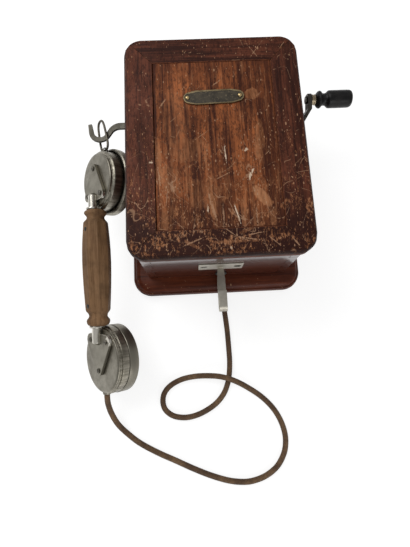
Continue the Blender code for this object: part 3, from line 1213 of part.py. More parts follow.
def side_hook():
    """The hook for a second receiver: a plate let into the underside, with a strip bent up into a hook."""
    face = -HALF_CASE_HEIGHT + SIDE_HOOK_RECESS - GAP
    front = face - SIDE_HOOK_PLATE
    half_width = SIDE_HOOK_PLATE_WIDTH / 2
    half_height = SIDE_HOOK_PLATE_HEIGHT / 2
    hook = block((SIDE_HOOK_X - half_width, front, SIDE_HOOK_Z - half_height),
                 (SIDE_HOOK_X + half_width, face, SIDE_HOOK_Z + half_height))
    start = (SIDE_HOOK_Z - SIDE_HOOK_BEND_RADIUS, face - SIDE_HOOK_PLATE / 2)
    line = stroke(start, -90.0, (("run", SIDE_HOOK_DROP / 3), ("run", SIDE_HOOK_DROP * 2 / 3),
                                 ("arc", SIDE_HOOK_BEND_RADIUS, 180.0), ("run", SIDE_HOOK_RETURN)))
    section = ribbon(line, [SIDE_HOOK_STRIP / 2] * len(line))
    count = len(line)
    rings = []
    for i in range(count):
        half = SIDE_HOOK_ROOT_WIDTH / 2 if i == 0 else SIDE_HOOK_WIDTH / 2
        near = section[i]
        far = section[2 * count - 1 - i]
        rings.append([Vector((SIDE_HOOK_X + u, y, z)) for u, (z, y) in
                      ((-half, near), (half, near), (half, far), (-half, far))])
    hook = combine(hook, loft(rings), "UNION")
    for side in (-1, 1):
        centre = (SIDE_HOOK_X + side * SIDE_HOOK_SCREW_X, SIDE_HOOK_Z)
        hook = combine(hook, rod(SIDE_HOOK_SCREW_HOLE, front - OVERRUN, face + OVERRUN, centre, "y"))
        sink = turned(((SIDE_HOOK_SCREW_HEAD + OVERRUN, front - OVERRUN), (SIDE_HOOK_SCREW_HEAD, front),
                       (SIDE_HOOK_SCREW_HOLE / 2, front + SIDE_HOOK_SCREW_HEAD)), centre, "y",
                       SMALL_ROUND_COUNT)
        hook = combine(hook, sink)
    piece("side_hook", hook, "nickel")


def case_bush():
    """The cord's bush through the bottom wall."""
    centre = (CASE_BUSH_X, CASE_BUSH_Z)
    wall = -HALF_CASE_HEIGHT - GAP
    bush = turned(((CASE_BUSH_RADIUS, -INSIDE_Y), (CASE_BUSH_RADIUS, wall), (CASE_BUSH_FLANGE, wall),
                   (CASE_BUSH_FLANGE, wall - CASE_BUSH_PROUD / 2),
                   (CASE_BUSH_RADIUS, wall - CASE_BUSH_PROUD)), centre, "y", 20)
    hollow = rod(CORD_RADIUS, -INSIDE_Y - OVERRUN, -INSIDE_Y + OVERRUN, centre, "y")
    piece("cord_bush_case", combine(bush, hollow), "ebonite")


def handset_matrix():
    """The handset's frame: x across the cups, y from the mouthpiece to the earpiece, z into the cups.

    The mouthpiece's rim is on the table, and the bail hangs over the bowl of the switch hook.
    """
    yaw = math.radians(HANDSET_YAW_DEGREES)
    rise = math.asin(HANDSET_RISE / HANDSET_SPAN)
    roll = math.radians(HANDSET_ROLL_DEGREES)
    along = Vector((math.sin(yaw) * math.cos(rise), math.cos(yaw) * math.cos(rise), math.sin(rise)))
    side = Vector((math.cos(yaw), -math.sin(yaw), 0.0))
    depth = side * math.cos(roll) - side.cross(along) * math.sin(roll)
    across = along.cross(depth)
    rim_depth = MIC_DRUM_DEPTH + GAP + MIC_CAP_DEPTH * MIC_CAP_RIM_SHARE
    tip = MIC_CAP * math.hypot(across.z, along.z) - depth.z * rim_depth + GAP
    place = Matrix((across, along, depth)).transposed()
    bowl = hook_line(0.0, HOOK_BOWL_DEGREES / 2)[-1]
    pivot = place @ Vector((EYELET_X, HANDSET_SPAN + EAR_DRUM + EYELET_RISE, BAIL_DEPTH))
    origin = Vector((bowl.x + BAIL_FROM_BOWL_X - pivot.x, bowl.y + BAIL_FROM_BOWL_Y - pivot.y, tip))
    return Matrix.Translation(origin) @ place.to_4x4()


def cup_case(shares, radius, depth, cap, cap_height):
    """The profile of a cup's case: its drum, and the seat that carries the diaphragm up inside the cap."""
    seat = cap - 2 * CAP_WALL - RUNNING_GAP
    top = depth + GAP + cap_height - CAP_WALL - RUNNING_GAP
    return scaled(shares, radius, depth) + [(seat, depth), (seat, top)]


def cup_cap(name, frame, y, radius, depth, start, shares, hole, holes=()):
    """A hollow screwed cap with a hole in its middle, and further holes round it."""
    inner = radius - CAP_WALL
    ceiling = start + depth * shares[-1][1] - CAP_WALL
    profile = [(inner, start)] + scaled(shares, radius, depth, start)
    profile += [(hole, start + depth * shares[-1][1]), (hole, ceiling), (inner - CAP_WALL, ceiling),
                (inner, ceiling - CAP_WALL)]
    rings = [[toward("z", u, v, along) for u, v in circle(across, ROUND_COUNT, (0.0, y))] for across,
             along in profile]
    shell = loft(rings, closed=True)
    for place in holes:
        drill = rod(hole, ceiling - OVERRUN, start + depth + OVERRUN, (place[0], y + place[1]), "z", 8)
        shell = combine(shell, drill)
    piece(name, shell, "cup_metal", frame, local=True)


def neck(name, frame, y, sign, corner_x, corner_y, corner, apex, tube_end, collar_at):
    """A neck casting: the tube from the grip, and the tongue that it spreads into on the cup's back."""
    back = -GAP
    circles = [(corner_x, y - sign * corner_y, corner), (0.0, y + sign * apex, TONGUE_APEX_RADIUS),
               (-corner_x, y - sign * corner_y, corner)]
    if sign < 0:
        circles.reverse()
    shape = prism(hull_of_circles(circles, 4), back - TONGUE_THICKNESS, back)
    tip = y - sign * tube_end
    tube_profile = ((NECK_TUBE, collar_at), (NECK_TUBE, tip - sign * NECK_TUBE / 2), (NECK_TUBE / 2, tip))
    tube = turned(tube_profile, (0.0, -NECK_OUT - GAP), "y", 12)
    shape = combine(shape, tube, "UNION")
    collar_end = collar_at + sign * NECK_COLLAR_LENGTH
    collar = turned(((NECK_COLLAR, collar_at), (NECK_COLLAR, collar_end)), (0.0, -NECK_OUT - GAP), "y", 16)
    shape = combine(shape, collar, "UNION")
    for place in ((corner_x, y - sign * corner_y), (-corner_x, y - sign * corner_y),
                  (0.0, y + sign * apex)):
        head = rod(TONGUE_SCREW, back - TONGUE_THICKNESS - TONGUE_SCREW_HEIGHT, back - TONGUE_THICKNESS / 2,
                   place, "z", 10)
        shape = combine(shape, head, "UNION")
    piece(name, shape, "nickel", frame, local=True)


def grip(frame):
    """The wooden grip: turned beads and necks at its ends, eight flats along its barrel."""
    rings = []
    for along, radius_share, flat in GRIP_SHARES:
        ring = []
        for i in range(GRIP_RING_COUNT):
            angle = math.tau * i / GRIP_RING_COUNT
            within = (angle + math.pi / GRIP_SIDES) % (math.tau / GRIP_SIDES) - math.pi / GRIP_SIDES
            polygon = math.cos(math.pi / GRIP_SIDES) / math.cos(within)
            radius = GRIP_RADIUS * radius_share * (1.0 + flat * (polygon - 1.0))
            ring.append(Vector((radius * math.cos(angle), GRIP_START + GRIP_LENGTH * along,
                                radius * math.sin(angle) - GRIP_OUT)))
        rings.append(ring)
    piece("handset_grip", loft(rings), "grip_wood", frame, local=True, flat_degrees=18.0)


def handset(frame, bail_frame):
    """The handset: grip, two necks, two cups with caps, the bail in its eyelet and the cord's bush."""
    ear = turned(cup_case(EAR_CASE_SHARES, EAR_DRUM, EAR_DRUM_DEPTH, EAR_CAP,
                          EAR_CAP_DEPTH * EAR_CAP_SHARES[-1][1]),
                 (0.0, HANDSET_SPAN))
    post_centre = HANDSET_SPAN + EAR_DRUM + EYELET_RISE
    foot = Vector((EYELET_THICKNESS, EYELET_HOLE, EYELET_RADIUS)) * EYELET_FOOT_SHARE
    base = Vector((EYELET_X, HANDSET_SPAN + EAR_DRUM - EYELET_RADIUS, BAIL_DEPTH))
    top = Vector((EYELET_X, HANDSET_SPAN + EAR_DRUM + EYELET_RISE - EYELET_HOLE - GAP, BAIL_DEPTH))
    across = Vector((foot.x, 0.0, foot.z))
    ear = combine(ear, block(base - across, top + across), "UNION")
    near = EYELET_X - EYELET_THICKNESS / 2
    far = near + EYELET_THICKNESS
    profile = ((EYELET_HOLE, near), (EYELET_RADIUS, near), (EYELET_RADIUS, far), (EYELET_HOLE, far))
    ring = loft([[toward("x", u, v, along) for u, v in circle(radius, 12, (post_centre, BAIL_DEPTH))]
                 for radius, along in profile], closed=True)
    ear = combine(ear, ring, "UNION")
    piece("ear_case", ear, "cup_metal", frame, local=True)
    cup_cap("ear_cap", frame, HANDSET_SPAN, EAR_CAP, EAR_CAP_DEPTH, EAR_DRUM_DEPTH + GAP, EAR_CAP_SHARES,
            EAR_HOLE)

    mic = turned(cup_case(MIC_CASE_SHARES, MIC_DRUM, MIC_DRUM_DEPTH, MIC_CAP,
                          MIC_CAP_DEPTH * MIC_CAP_SHARES[-1][1]))
    bush = turned(((MIC_BUSH_RADIUS, -MIC_DRUM + 2 * MIC_BUSH_RADIUS),
                   (MIC_BUSH_RADIUS, -MIC_BUSH_END + MIC_BUSH_BEVEL),
                   (MIC_BUSH_RADIUS - MIC_BUSH_BEVEL, -MIC_BUSH_END)),
                  (MIC_BUSH_X, MIC_BUSH_DEPTH), "y", 12)
    piece("mic_case", combine(mic, bush, "UNION"), "cup_metal", frame, local=True)
    cup_cap("mic_cap", frame, 0.0, MIC_CAP, MIC_CAP_DEPTH, MIC_DRUM_DEPTH + GAP, MIC_CAP_SHARES, MIC_HOLE,
            circle(MIC_HOLE_RING, MIC_HOLE_COUNT, first=MIC_HOLE_TURN))

    grip(frame)
    neck("neck_upper", frame, HANDSET_SPAN, 1, EAR_TONGUE_X, EAR_TONGUE_Y, EAR_TONGUE_CORNER,
         EAR_TONGUE_APEX,
         EAR_NECK_END, GRIP_START + GRIP_LENGTH + GAP)
    neck("neck_lower", frame, 0.0, -1, MIC_TONGUE_X, MIC_TONGUE_Y, MIC_TONGUE_CORNER, MIC_TONGUE_APEX,
         MIC_NECK_END, GRIP_START - GAP)

    side = [(BAIL_HALF_WIDTH * out, BAIL_LENGTH * up) for out, up in BAIL_SHARES]
    loop = [Vector((u, v, 0.0)) for u, v in side + [(-u, v) for u, v in reversed(side)]]
    wire = tube_loop(loop, BAIL_WIRE)
    wire.transform(Matrix.Rotation(-math.radians(BAIL_LEAN_DEGREES), 4, "Z"))
    piece("handset_bail", wire, "steel", bail_frame, local=True)


def cord(frame):
    """The braided cord, one free tube from the case's bush to the transmitter's."""
    route = [Vector(point) * MM for point in CORD_ROUTE_MM]
    start = Vector((CASE_BUSH_X, -HALF_CASE_HEIGHT - 2 * GAP - CASE_BUSH_PROUD, CASE_BUSH_Z))
    out = Vector((0.0, -CORD_RADIUS, 0.0))
    end = frame.matrix_world @ Vector((MIC_BUSH_X, -MIC_BUSH_END - GAP, MIC_BUSH_DEPTH))
    back = frame.matrix_world.to_3x3() @ Vector((0.0, -CORD_RADIUS, 0.0))
    points = [start] + smooth_route([start + out] + route + [end + back], CORD_STEP) + [end]
    curve = bpy.data.curves.new("handset_cord", "CURVE")
    curve.dimensions = "3D"
    curve.bevel_depth = CORD_RADIUS
    curve.bevel_resolution = 2
    curve.use_fill_caps = True
    spline = curve.splines.new("POLY")
    spline.points.add(len(points) - 1)
    for target, place in zip(spline.points, points):
        target.co = (place.x, place.y, max(place.z, CORD_RADIUS + CORD_LIFT), 1.0)
    curve.materials.append(finish("cord_cotton"))
    bpy.context.collection.objects.link(bpy.data.objects.new("handset_cord", curve))


def build():
    clear_scene()
    hinge = joint_frame("door_hinge", Matrix.Translation((HINGE_X, 0.0, HINGE_Z)))
    spin = joint_frame("crank_axis", Matrix.Translation((CRANK_HUB_X, CRANK_Y, CRANK_Z)))
    knob_spin = joint_frame("knob_axis", Matrix.Translation((KNOB_X, KNOB_Y, KNOB_Z)))
    armature_spin = joint_frame("armature_axis", Matrix.Translation((GEAR_X, ARMATURE_Y, ARMATURE_Z)))
    pivot = joint_frame("hook_pivot", Matrix.Translation((HOOK_PIVOT_X, HOOK_PIVOT_Y, HOOK_Z)))
    clapper_frame = joint_frame("clapper_pivot", Matrix.Translation((0.0, CLAPPER_Y, RINGER_AXIS_Z)))
    handset_frame = joint_frame("handset_rest", handset_matrix())
    eyelet = Matrix.Translation((EYELET_X, HANDSET_SPAN + EAR_DRUM + EYELET_RISE, BAIL_DEPTH))
    bail_frame = joint_frame("bail_pivot", handset_matrix() @ eyelet)
    bpy.context.view_layer.update()

    back_board()
    case_walls()
    door(hinge)
    name_plate(hinge)
    hinges(hinge)
    door_catch(hinge)
    switch_hook(pivot)
    crank(spin, knob_spin)
    magneto(spin, armature_spin)
    ringer(clapper_frame)
    line_parts()
    side_hook()
    case_bush()
    handset(handset_frame, bail_frame)
    cord(handset_frame)


build()
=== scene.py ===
import math

import bmesh
import bpy
import numpy as np
from mathutils import Matrix, Vector


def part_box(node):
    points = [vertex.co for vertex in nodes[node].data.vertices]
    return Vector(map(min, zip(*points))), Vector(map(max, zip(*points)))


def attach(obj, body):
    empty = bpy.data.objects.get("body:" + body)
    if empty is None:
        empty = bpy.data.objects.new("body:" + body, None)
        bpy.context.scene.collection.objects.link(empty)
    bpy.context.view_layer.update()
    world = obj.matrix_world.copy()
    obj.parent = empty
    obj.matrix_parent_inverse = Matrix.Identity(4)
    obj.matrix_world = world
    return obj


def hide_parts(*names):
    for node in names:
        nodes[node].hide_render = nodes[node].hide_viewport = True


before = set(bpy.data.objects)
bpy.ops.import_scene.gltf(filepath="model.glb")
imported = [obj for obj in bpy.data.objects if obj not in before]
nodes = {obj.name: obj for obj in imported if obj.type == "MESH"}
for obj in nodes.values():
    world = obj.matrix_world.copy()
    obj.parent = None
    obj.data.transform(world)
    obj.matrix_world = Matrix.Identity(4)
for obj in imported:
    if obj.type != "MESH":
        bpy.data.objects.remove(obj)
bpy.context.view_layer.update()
bpy.ops.object.select_all(action="DESELECT")
scene = bpy.context.scene
scene.view_settings.view_transform = "Standard"

# Camera.
# The telephone lies on its back on the table, and the camera looks down on it from above its lower edge,
# so that the underside of the case and the receiver hook beneath it can be seen.
camera_place = Vector((-0.02304, -0.17365, 0.41117))
camera_ahead = Vector((0.0267, 0.2073, -0.9779)).normalized()
camera_up = Vector((0.0473, 0.9769, 0.2084))
camera_data = bpy.data.cameras.new("camera")
camera_data.sensor_width = 36.0
camera_data.lens = 26.02
camera_data.clip_start = 0.01
camera = bpy.data.objects.new("camera", camera_data)
scene.collection.objects.link(camera)
camera_right = camera_ahead.cross(camera_up).normalized()
camera_level = camera_right.cross(camera_ahead)
camera_turn = Matrix((camera_right, camera_level, -camera_ahead)).transposed().to_4x4()
camera.matrix_world = Matrix.Translation(camera_place) @ camera_turn
scene.camera = camera

# Table top and light.
# A plain white sheet under the telephone, a soft even sky, one broad lamp over the upper left and a weaker
# one low at the front, which puts the pale gloss on the underside of the case.
def feed(node, inputs):
    """Gives a node's sockets what they take: a signal, a number, a colour or a vector."""
    for name, value in inputs.items():
        socket = node.inputs[name]
        if isinstance(value, Signal):
            node.id_data.links.new(value.socket, socket)
        elif socket.type == "RGBA" and len(value) == 3:
            socket.default_value = (*value, 1.0)
        else:
            socket.default_value = value


def add_node(tree, kind, settings=None, inputs=None):
    """A node with its settings and what its sockets take."""
    node = tree.nodes.new("ShaderNode" + kind)
    for name, value in (settings or {}).items():
        setattr(node, name, value)
    feed(node, inputs or {})
    return node


class Signal:
    """What a node puts out, with the sums, ramps, blends and noise that are made from it."""

    def __init__(self, socket):
        self.socket = socket

    def through(self, kind, settings=None, inputs=None, output=0):
        """What a new node in the same tree puts out."""
        return Signal(add_node(self.socket.id_data, kind, settings, inputs).outputs[output])

    def maths(self, operation, *values):
        return self.through("Math", {"operation": operation}, dict(enumerate(values)))

    def __add__(self, other):
        return self.maths("ADD", self, other)

    def __sub__(self, other):
        return self.maths("SUBTRACT", self, other)

    def __rsub__(self, other):
        return self.maths("SUBTRACT", other, self)

    def __mul__(self, other):
        return self.maths("MULTIPLY", self, other)

    def __truediv__(self, other):
        return self.maths("DIVIDE", self, other)

    def __pow__(self, other):
        return self.maths("POWER", self, other)

    def __abs__(self):
        return self.maths("ABSOLUTE", self)

    def most(self, other):
        return self.maths("MAXIMUM", self, other)

    def below(self, other):
        return self.maths("LESS_THAN", self, other)

    def ramp(self, low, high, to_low=0.0, to_high=1.0):
        """Spread smoothly from one range to another, and held at its ends."""
        return self.through("MapRange", {"interpolation_type": "SMOOTHSTEP"},
                            {"Value": self, "From Min": low, "From Max": high, "To Min": to_low, "To Max": to_high})

    def between(self, a, b, how="MIX"):
        """The colour between two colours, with this as the share of the second."""
        settings = {"data_type": "RGBA", "blend_type": how, "clamp_result": False}
        return self.through("Mix", settings, {"Factor": self, 6: a, 7: b}, 2)

    def moved(self, turn=(0.0, 0.0, 0.0), shift=(0.0, 0.0, 0.0), stretch=(1.0, 1.0, 1.0)):
        return self.through("Mapping", None, {"Vector": self, "Rotation": turn, "Location": shift, "Scale": stretch})

    def scaled(self, size):
        return self.through("VectorMath", {"operation": "SCALE"}, {0: self, "Scale": size})

    def parts(self):
        """The three parts of a vector."""
        return [Signal(part) for part in add_node(self.socket.id_data, "SeparateXYZ", inputs={0: self}).outputs]

    def noise(self, scale, detail=3.0, rough=0.55, stretch=(1.0, 1.0, 1.0), shift=(0.0, 0.0, 0.0)):
        """Noise from 0 to 1, at a scale in cycles per metre, drawn out by a stretch on each axis."""
        drawn = self.moved(shift=shift, stretch=stretch)
        return self.through("TexNoise", None, {"Vector": drawn, "Scale": scale, "Detail": detail, "Roughness": rough})


table_size, table_drop = 3.0, 0.0002
bpy.ops.mesh.primitive_plane_add(size=table_size, location=(0.0, 0.0, -table_drop))
table_top = bpy.context.object
table_top.name = "table_top"
table_paper = bpy.data.materials.new("table_paper")
table_paper.use_nodes = True
paper = table_paper.node_tree
paper.nodes.clear()
camera_ray, glossy_ray, through_ray = [Signal(add_node(paper, "LightPath").outputs[label]) for label in (
    "Is Camera Ray", "Is Glossy Ray", "Is Transmission Ray")]
paper_glow = camera_ray.most(glossy_ray).most(through_ray) * 0.78
paper_shaders = {0: paper_glow.through("BsdfDiffuse", None, {"Color": (0.36, 0.36, 0.36)}),
                 1: paper_glow.through("Emission", None, {"Strength": paper_glow})}
add_node(paper, "OutputMaterial", None, {"Surface": paper_glow.through("AddShader", None, paper_shaders)})
table_top.data.materials.append(table_paper)

sky = bpy.data.worlds.new("sky")
scene.world = sky
sky.use_nodes = True
sky_seen = Signal(add_node(sky.node_tree, "LightPath").outputs["Is Camera Ray"])
sky_level = sky_seen.through("MapRange", None, {"Value": sky_seen, "To Min": 0.42, "To Max": 1.0})
feed(sky.node_tree.nodes["Background"], {"Color": (1.0, 1.0, 1.0), "Strength": sky_level})


def lamp(name, place, target, size, power):
    """A square soft lamp that faces a point."""
    data = bpy.data.lights.new(name, "AREA")
    data.size = size
    data.energy = power
    made = bpy.data.objects.new(name, data)
    made.location = place
    made.rotation_mode = "QUATERNION"
    made.rotation_quaternion = (Vector(target) - Vector(place)).to_track_quat("-Z", "Y")
    scene.collection.objects.link(made)


lamp("window_lamp", (-0.55, 0.45, 0.95), (-0.03, -0.02, 0.05), 0.7, 7.0)
lamp("front_lamp", (0.25, -0.95, 0.45), (-0.02, -0.05, 0.05), 0.6, 2.6)

# Handset cord.
# A limp three-core cord in a braided brown cotton cover, dulled by age: it leaves the case's bush, lies on
# the table in one crossed loop and a wide bend, and climbs into the transmitter's bush.
cord_route = [Vector(point) * 0.001 for point in (
    (3.4, -101.0, 27.0), (4.0, -109.0, 22.5), (5.0, -117.5, 13.0), (6.0, -127.0, 4.4), (7.0, -137.5, 2.8),
    (7.8, -150.0, 2.8), (8.2, -166.0, 2.8), (8.2, -180.0, 2.8), (6.8, -192.8, 2.8), (4.6, -201.0, 2.8),
    (0.2, -210.0, 2.8), (-7.8, -218.6, 2.8), (-19.2, -225.4, 2.8), (-30.7, -229.3, 2.8), (-41.0, -230.0, 2.8),
    (-51.0, -227.5, 2.8), (-58.0, -221.4, 2.8), (-60.0, -213.5, 2.8), (-58.0, -205.6, 2.8), (-51.4, -198.8, 2.9),
    (-40.5, -193.8, 3.4), (-27.7, -191.6, 5.2), (-14.9, -191.5, 7.4), (-2.1, -193.0, 8.9), (9.6, -196.8, 8.9),
    (21.5, -203.1, 6.6), (36.0, -213.2, 3.6), (46.6, -224.0, 2.8), (53.4, -235.2, 2.8), (57.2, -247.0, 2.8),
    (57.7, -257.6, 2.8), (55.0, -268.2, 2.8), (47.8, -278.9, 2.8), (37.4, -286.2, 2.8), (26.1, -290.1, 2.8),
    (15.1, -291.2, 2.8), (0.6, -289.2, 2.8), (-16.2, -283.8, 2.8), (-32.8, -276.7, 2.8), (-49.6, -268.6, 2.8),
    (-66.0, -260.8, 2.8), (-83.2, -251.1, 2.8), (-95.2, -241.4, 3.6), (-103.4, -231.9, 7.6),
    (-108.2, -220.9, 14.0), (-109.7, -211.6, 21.2))]
cord_radius = 0.00275
cord_lift = 0.0001
cord_exit = Vector((0.0032, -0.09475, 0.0270))
cord_end = Vector((-0.10933, -0.20250, 0.02696))
cord_ease = [Vector((0.0, -cord_radius, 0.0)), Vector((-0.00004, -0.00270, -0.00052))]
cord_relief = 0.00032
cord_ring_step = 0.00055
cord_sides = 36
cord_threads = 12
cord_thread_run = 0.0021
curve_steps = 12


def walked_along(line):
    """How far along a line each of its points is."""
    return np.concatenate(([0.0], np.cumsum(np.linalg.norm(np.diff(line, axis=0), axis=1))))


def smooth_line(points, step):
    """Evenly spaced points on a smooth curve through a route."""
    padded = [points[0]] + list(points) + [points[-1]]
    dense = []
    for a, b, c, d in zip(padded, padded[1:], padded[2:], padded[3:]):
        for t in np.arange(curve_steps) / curve_steps:
            t = float(t)
            dense.append(0.5 * ((2 * b) + (c - a) * t + (2 * a - 5 * b + 4 * c - d) * t * t
                                + (3 * b - a - 3 * c + d) * t * t * t))
    dense.append(points[-1])
    line = np.array([tuple(point) for point in dense])
    walked = walked_along(line)
    marks = np.linspace(0.0, walked[-1], max(2, round(walked[-1] / step)) + 1)
    return np.stack([np.interp(marks, walked, line[:, axis]) for axis in range(3)], axis=1)


def tube_frames(line):
    """Directions across a line at each of its points, carried along it without twist."""
    ahead = np.gradient(line, axis=0)
    ahead /= np.linalg.norm(ahead, axis=1)[:, None]
    side = np.cross(ahead[0], (0.0, 0.0, 1.0))
    sides = []
    for direction in ahead:
        side = side - direction * (side @ direction)
        side = side / np.linalg.norm(side)
        sides.append(side)
    return np.array(sides), np.cross(ahead, np.array(sides))


def tube_mesh(name, line, radii, sides_round, around_repeats):
    """A closed tube on a line. radii has one value for each ring and side; the UV map is turns and metres."""
    side, up = tube_frames(line)
    angles = np.linspace(0.0, math.tau, sides_round, endpoint=False)
    ring = side[:, None, :] * np.cos(angles)[None, :, None] + up[:, None, :] * np.sin(angles)[None, :, None]
    points = line[:, None, :] + ring * radii[:, :, None]
    count = len(line)
    vertices = np.concatenate((points.reshape(-1, 3), line[:1], line[-1:]))
    first, last = count * sides_round, count * sides_round + 1
    walked = walked_along(line)
    faces, coordinates = [], []
    for i in range(count - 1):
        row = i * sides_round
        for j in range(sides_round):
            k = (j + 1) % sides_round
            faces.append((row + j, row + sides_round + j, row + sides_round + k, row + k))
            u, w = j / sides_round * around_repeats, (j + 1) / sides_round * around_repeats
            coordinates += [u, walked[i], u, walked[i + 1], w, walked[i + 1], w, walked[i]]
    caps = [(first, (j + 1) % sides_round, j) for j in range(sides_round)]
    row = (count - 1) * sides_round
    caps += [(last, row + j, row + (j + 1) % sides_round) for j in range(sides_round)]
    mesh = bpy.data.meshes.new(name)
    mesh.from_pydata([tuple(v) for v in vertices], [], faces + caps)
    coordinates += [0.0] * (6 * len(caps))
    mesh.uv_layers.new(name="along").data.foreach_set("uv", coordinates)
    mesh.polygons.foreach_set("use_smooth", [True] * len(mesh.polygons))
    mesh.validate()
    mesh.update()
    made = bpy.data.objects.new(name, mesh)
    scene.collection.objects.link(made)
    recalculated = bmesh.new()
    recalculated.from_mesh(mesh)
    bmesh.ops.recalc_face_normals(recalculated, faces=recalculated.faces)
    recalculated.to_mesh(mesh)
    recalculated.free()
    return made, walked[-1]


cord_line = smooth_line([cord_exit + cord_ease[0]] + cord_route + [cord_end + cord_ease[1]], cord_ring_step)
cord_line[:, 2] = np.maximum(cord_line[:, 2], cord_radius + cord_lift)
cord_line = np.concatenate((np.linspace(cord_exit, cord_line[0], 5)[:-1], cord_line,
                            np.linspace(cord_line[-1], cord_end, 5)[1:]))
cord_turns = walked_along(cord_line)[:, None] / cord_thread_run
around = np.arange(cord_sides)[None, :] / cord_sides * cord_threads
thread_a, thread_b = around + cord_turns, around - cord_turns
over = (np.floor(thread_a) + np.floor(thread_b)) % 2 < 1
across = np.where(over, thread_a % 1.0, thread_b % 1.0)
lengthways = np.where(over, thread_b % 1.0, thread_a % 1.0)
pillow = np.sin(math.pi * across) ** 0.6 * np.sin(math.pi * lengthways) ** 0.35
cord_radii = cord_radius - cord_relief * (1.0 - pillow)
handset_cord, cord_length = tube_mesh("cord_cover", cord_line, cord_radii, cord_sides, cord_threads)


def new_material(name):
    """A material, its principled shader and the object's coordinates."""
    made = bpy.data.materials.new(name)
    made.use_nodes = True
    shader = made.node_tree.nodes["Principled BSDF"]
    return made, shader, Signal(add_node(made.node_tree, "TexCoord").outputs["Object"])


def surface(shader, colour, rough, height, strength, depth, others=None):
    """Gives a shader its colour, its roughness, its relief and what its other sockets take."""
    relief = colour.through("Bump", None, {"Height": height, "Strength": strength, "Distance": depth})
    feed(shader, {"Base Color": colour, "Roughness": rough, "Normal": relief, **(others or {})})


def dress(made, slot, *materials, node=None):
    """Gives a piece its materials, and hides the CAD node that it stands for. Its slot is not used."""
    for material in materials:
        made.data.materials.append(material)
    if node:
        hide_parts(node)


braid, shader, place = new_material("braided_cotton")
turns, metres, flat = Signal(add_node(braid.node_tree, "UVMap", {"uv_map": "along"}).outputs[0]).parts()
run = metres / cord_thread_run
thread_cell = run.through("CombineXYZ", None, {0: run.maths("FLOOR", turns + run), 1: run.maths("FLOOR", turns - run)})
thread_tone = run.through("TexWhiteNoise", {"noise_dimensions": "2D"}, {"Vector": thread_cell})
fibre = place.noise(2600.0, 3.0)
dirt = place.noise(55.0, 4.0, 0.65)
cotton = dirt.ramp(0.36, 0.66).between((0.074, 0.036, 0.013), (0.170, 0.096, 0.043))
cotton = (thread_tone * 0.45).between(cotton, (0.035, 0.017, 0.010))
cotton = fibre.ramp(0.55, 0.75, 0.0, 0.5).between(cotton, (0.24, 0.15, 0.095))
surface(shader, cotton, fibre.ramp(0.3, 0.7, 0.72, 0.95), fibre, 0.35, 0.0002, {"Sheen Weight": 0.15})
dress(handset_cord, "cord_cotton", braid, node="handset_cord")
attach(handset_cord, "case")

# Back board.
# A mahogany board that the whole telephone is screwed to the wall by. Its front edge is moulded, and it is
# stained and varnished a dark red-brown that still has its gloss where nothing rubs it.
def pick(made):
    """Makes one piece the only one that is selected."""
    bpy.ops.object.select_all(action="DESELECT")
    made.select_set(True)
    bpy.context.view_layer.objects.active = made


def finish_edges(made, width, smooth=38.0):
    """Breaks a piece's sharp edges and shades it smooth between what is left of them."""
    pick(made)
    if width:
        ease = made.modifiers.new("ease", "BEVEL")
        ease.width = width
        ease.segments = 2
        ease.limit_method = "ANGLE"
        ease.angle_limit = math.radians(30.0)
        ease.use_clamp_overlap = False
        bpy.ops.object.modifier_apply(modifier="ease")
    bpy.ops.object.shade_smooth_by_angle(angle=math.radians(smooth))
    if width:
        level = made.modifiers.new("level", "WEIGHTED_NORMAL")
        level.keep_sharp = True
        level.weight = 100
        bpy.ops.object.modifier_apply(modifier="level")


def round_corners(made, centre, cuts=3):
    """Adds points to the edges round a corner's upright axis and puts them on its true curve."""
    shape = bmesh.new()
    shape.from_mesh(made.data)
    for side_x, side_y in ((-1, -1), (-1, 1), (1, -1), (1, 1)):
        middle = Vector((side_x * centre[0], side_y * centre[1]))
        arcs = []
        for edge in shape.edges:
            ends = [vertex.co.xy - middle for vertex in edge.verts]
            outside = all(end.x * side_x > -1e-5 and end.y * side_y > -1e-5 for end in ends)
            level = abs(edge.verts[0].co.z - edge.verts[1].co.z) < 1e-6
            even = abs(ends[0].length - ends[1].length) < 2e-5
            if outside and level and even and ends[0].length > 0.004 and edge.calc_length() > 1e-4:
                arcs.append((edge, ends[0].length))
        for edge, radius in arcs:
            if edge.is_valid:
                cut = bmesh.ops.subdivide_edges(shape, edges=[edge], cuts=cuts)
                for vertex in cut["geom_inner"]:
                    if isinstance(vertex, bmesh.types.BMVert):
                        vertex.co.x, vertex.co.y = (vertex.co.xy - middle).normalized() * radius + middle
    shape.to_mesh(made.data)
    shape.free()


def eased_copy(name, node, body, width, corners=None, smooth=38.0):
    """A CAD node's solid as one joined mesh with eased edges, in the node's place."""
    made = nodes[node].copy()
    made.data = nodes[node].data.copy()
    made.name = made.data.name = name
    for key in list(made.keys()):
        del made[key]
    made.parent = None
    made.matrix_world = Matrix.Identity(4)
    scene.collection.objects.link(made)
    made.data.materials.clear()
    pick(made)
    bpy.ops.object.mode_set(mode="EDIT")
    bpy.ops.mesh.customdata_custom_splitnormals_clear()
    bpy.ops.mesh.select_all(action="SELECT")
    bpy.ops.mesh.remove_doubles(threshold=2e-6)
    bpy.ops.mesh.dissolve_limited(angle_limit=math.radians(0.5))
    bpy.ops.object.mode_set(mode="OBJECT")
    if corners:
        round_corners(made, corners)
    finish_edges(made, width, smooth)
    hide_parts(node)
    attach(made, body)
    return made


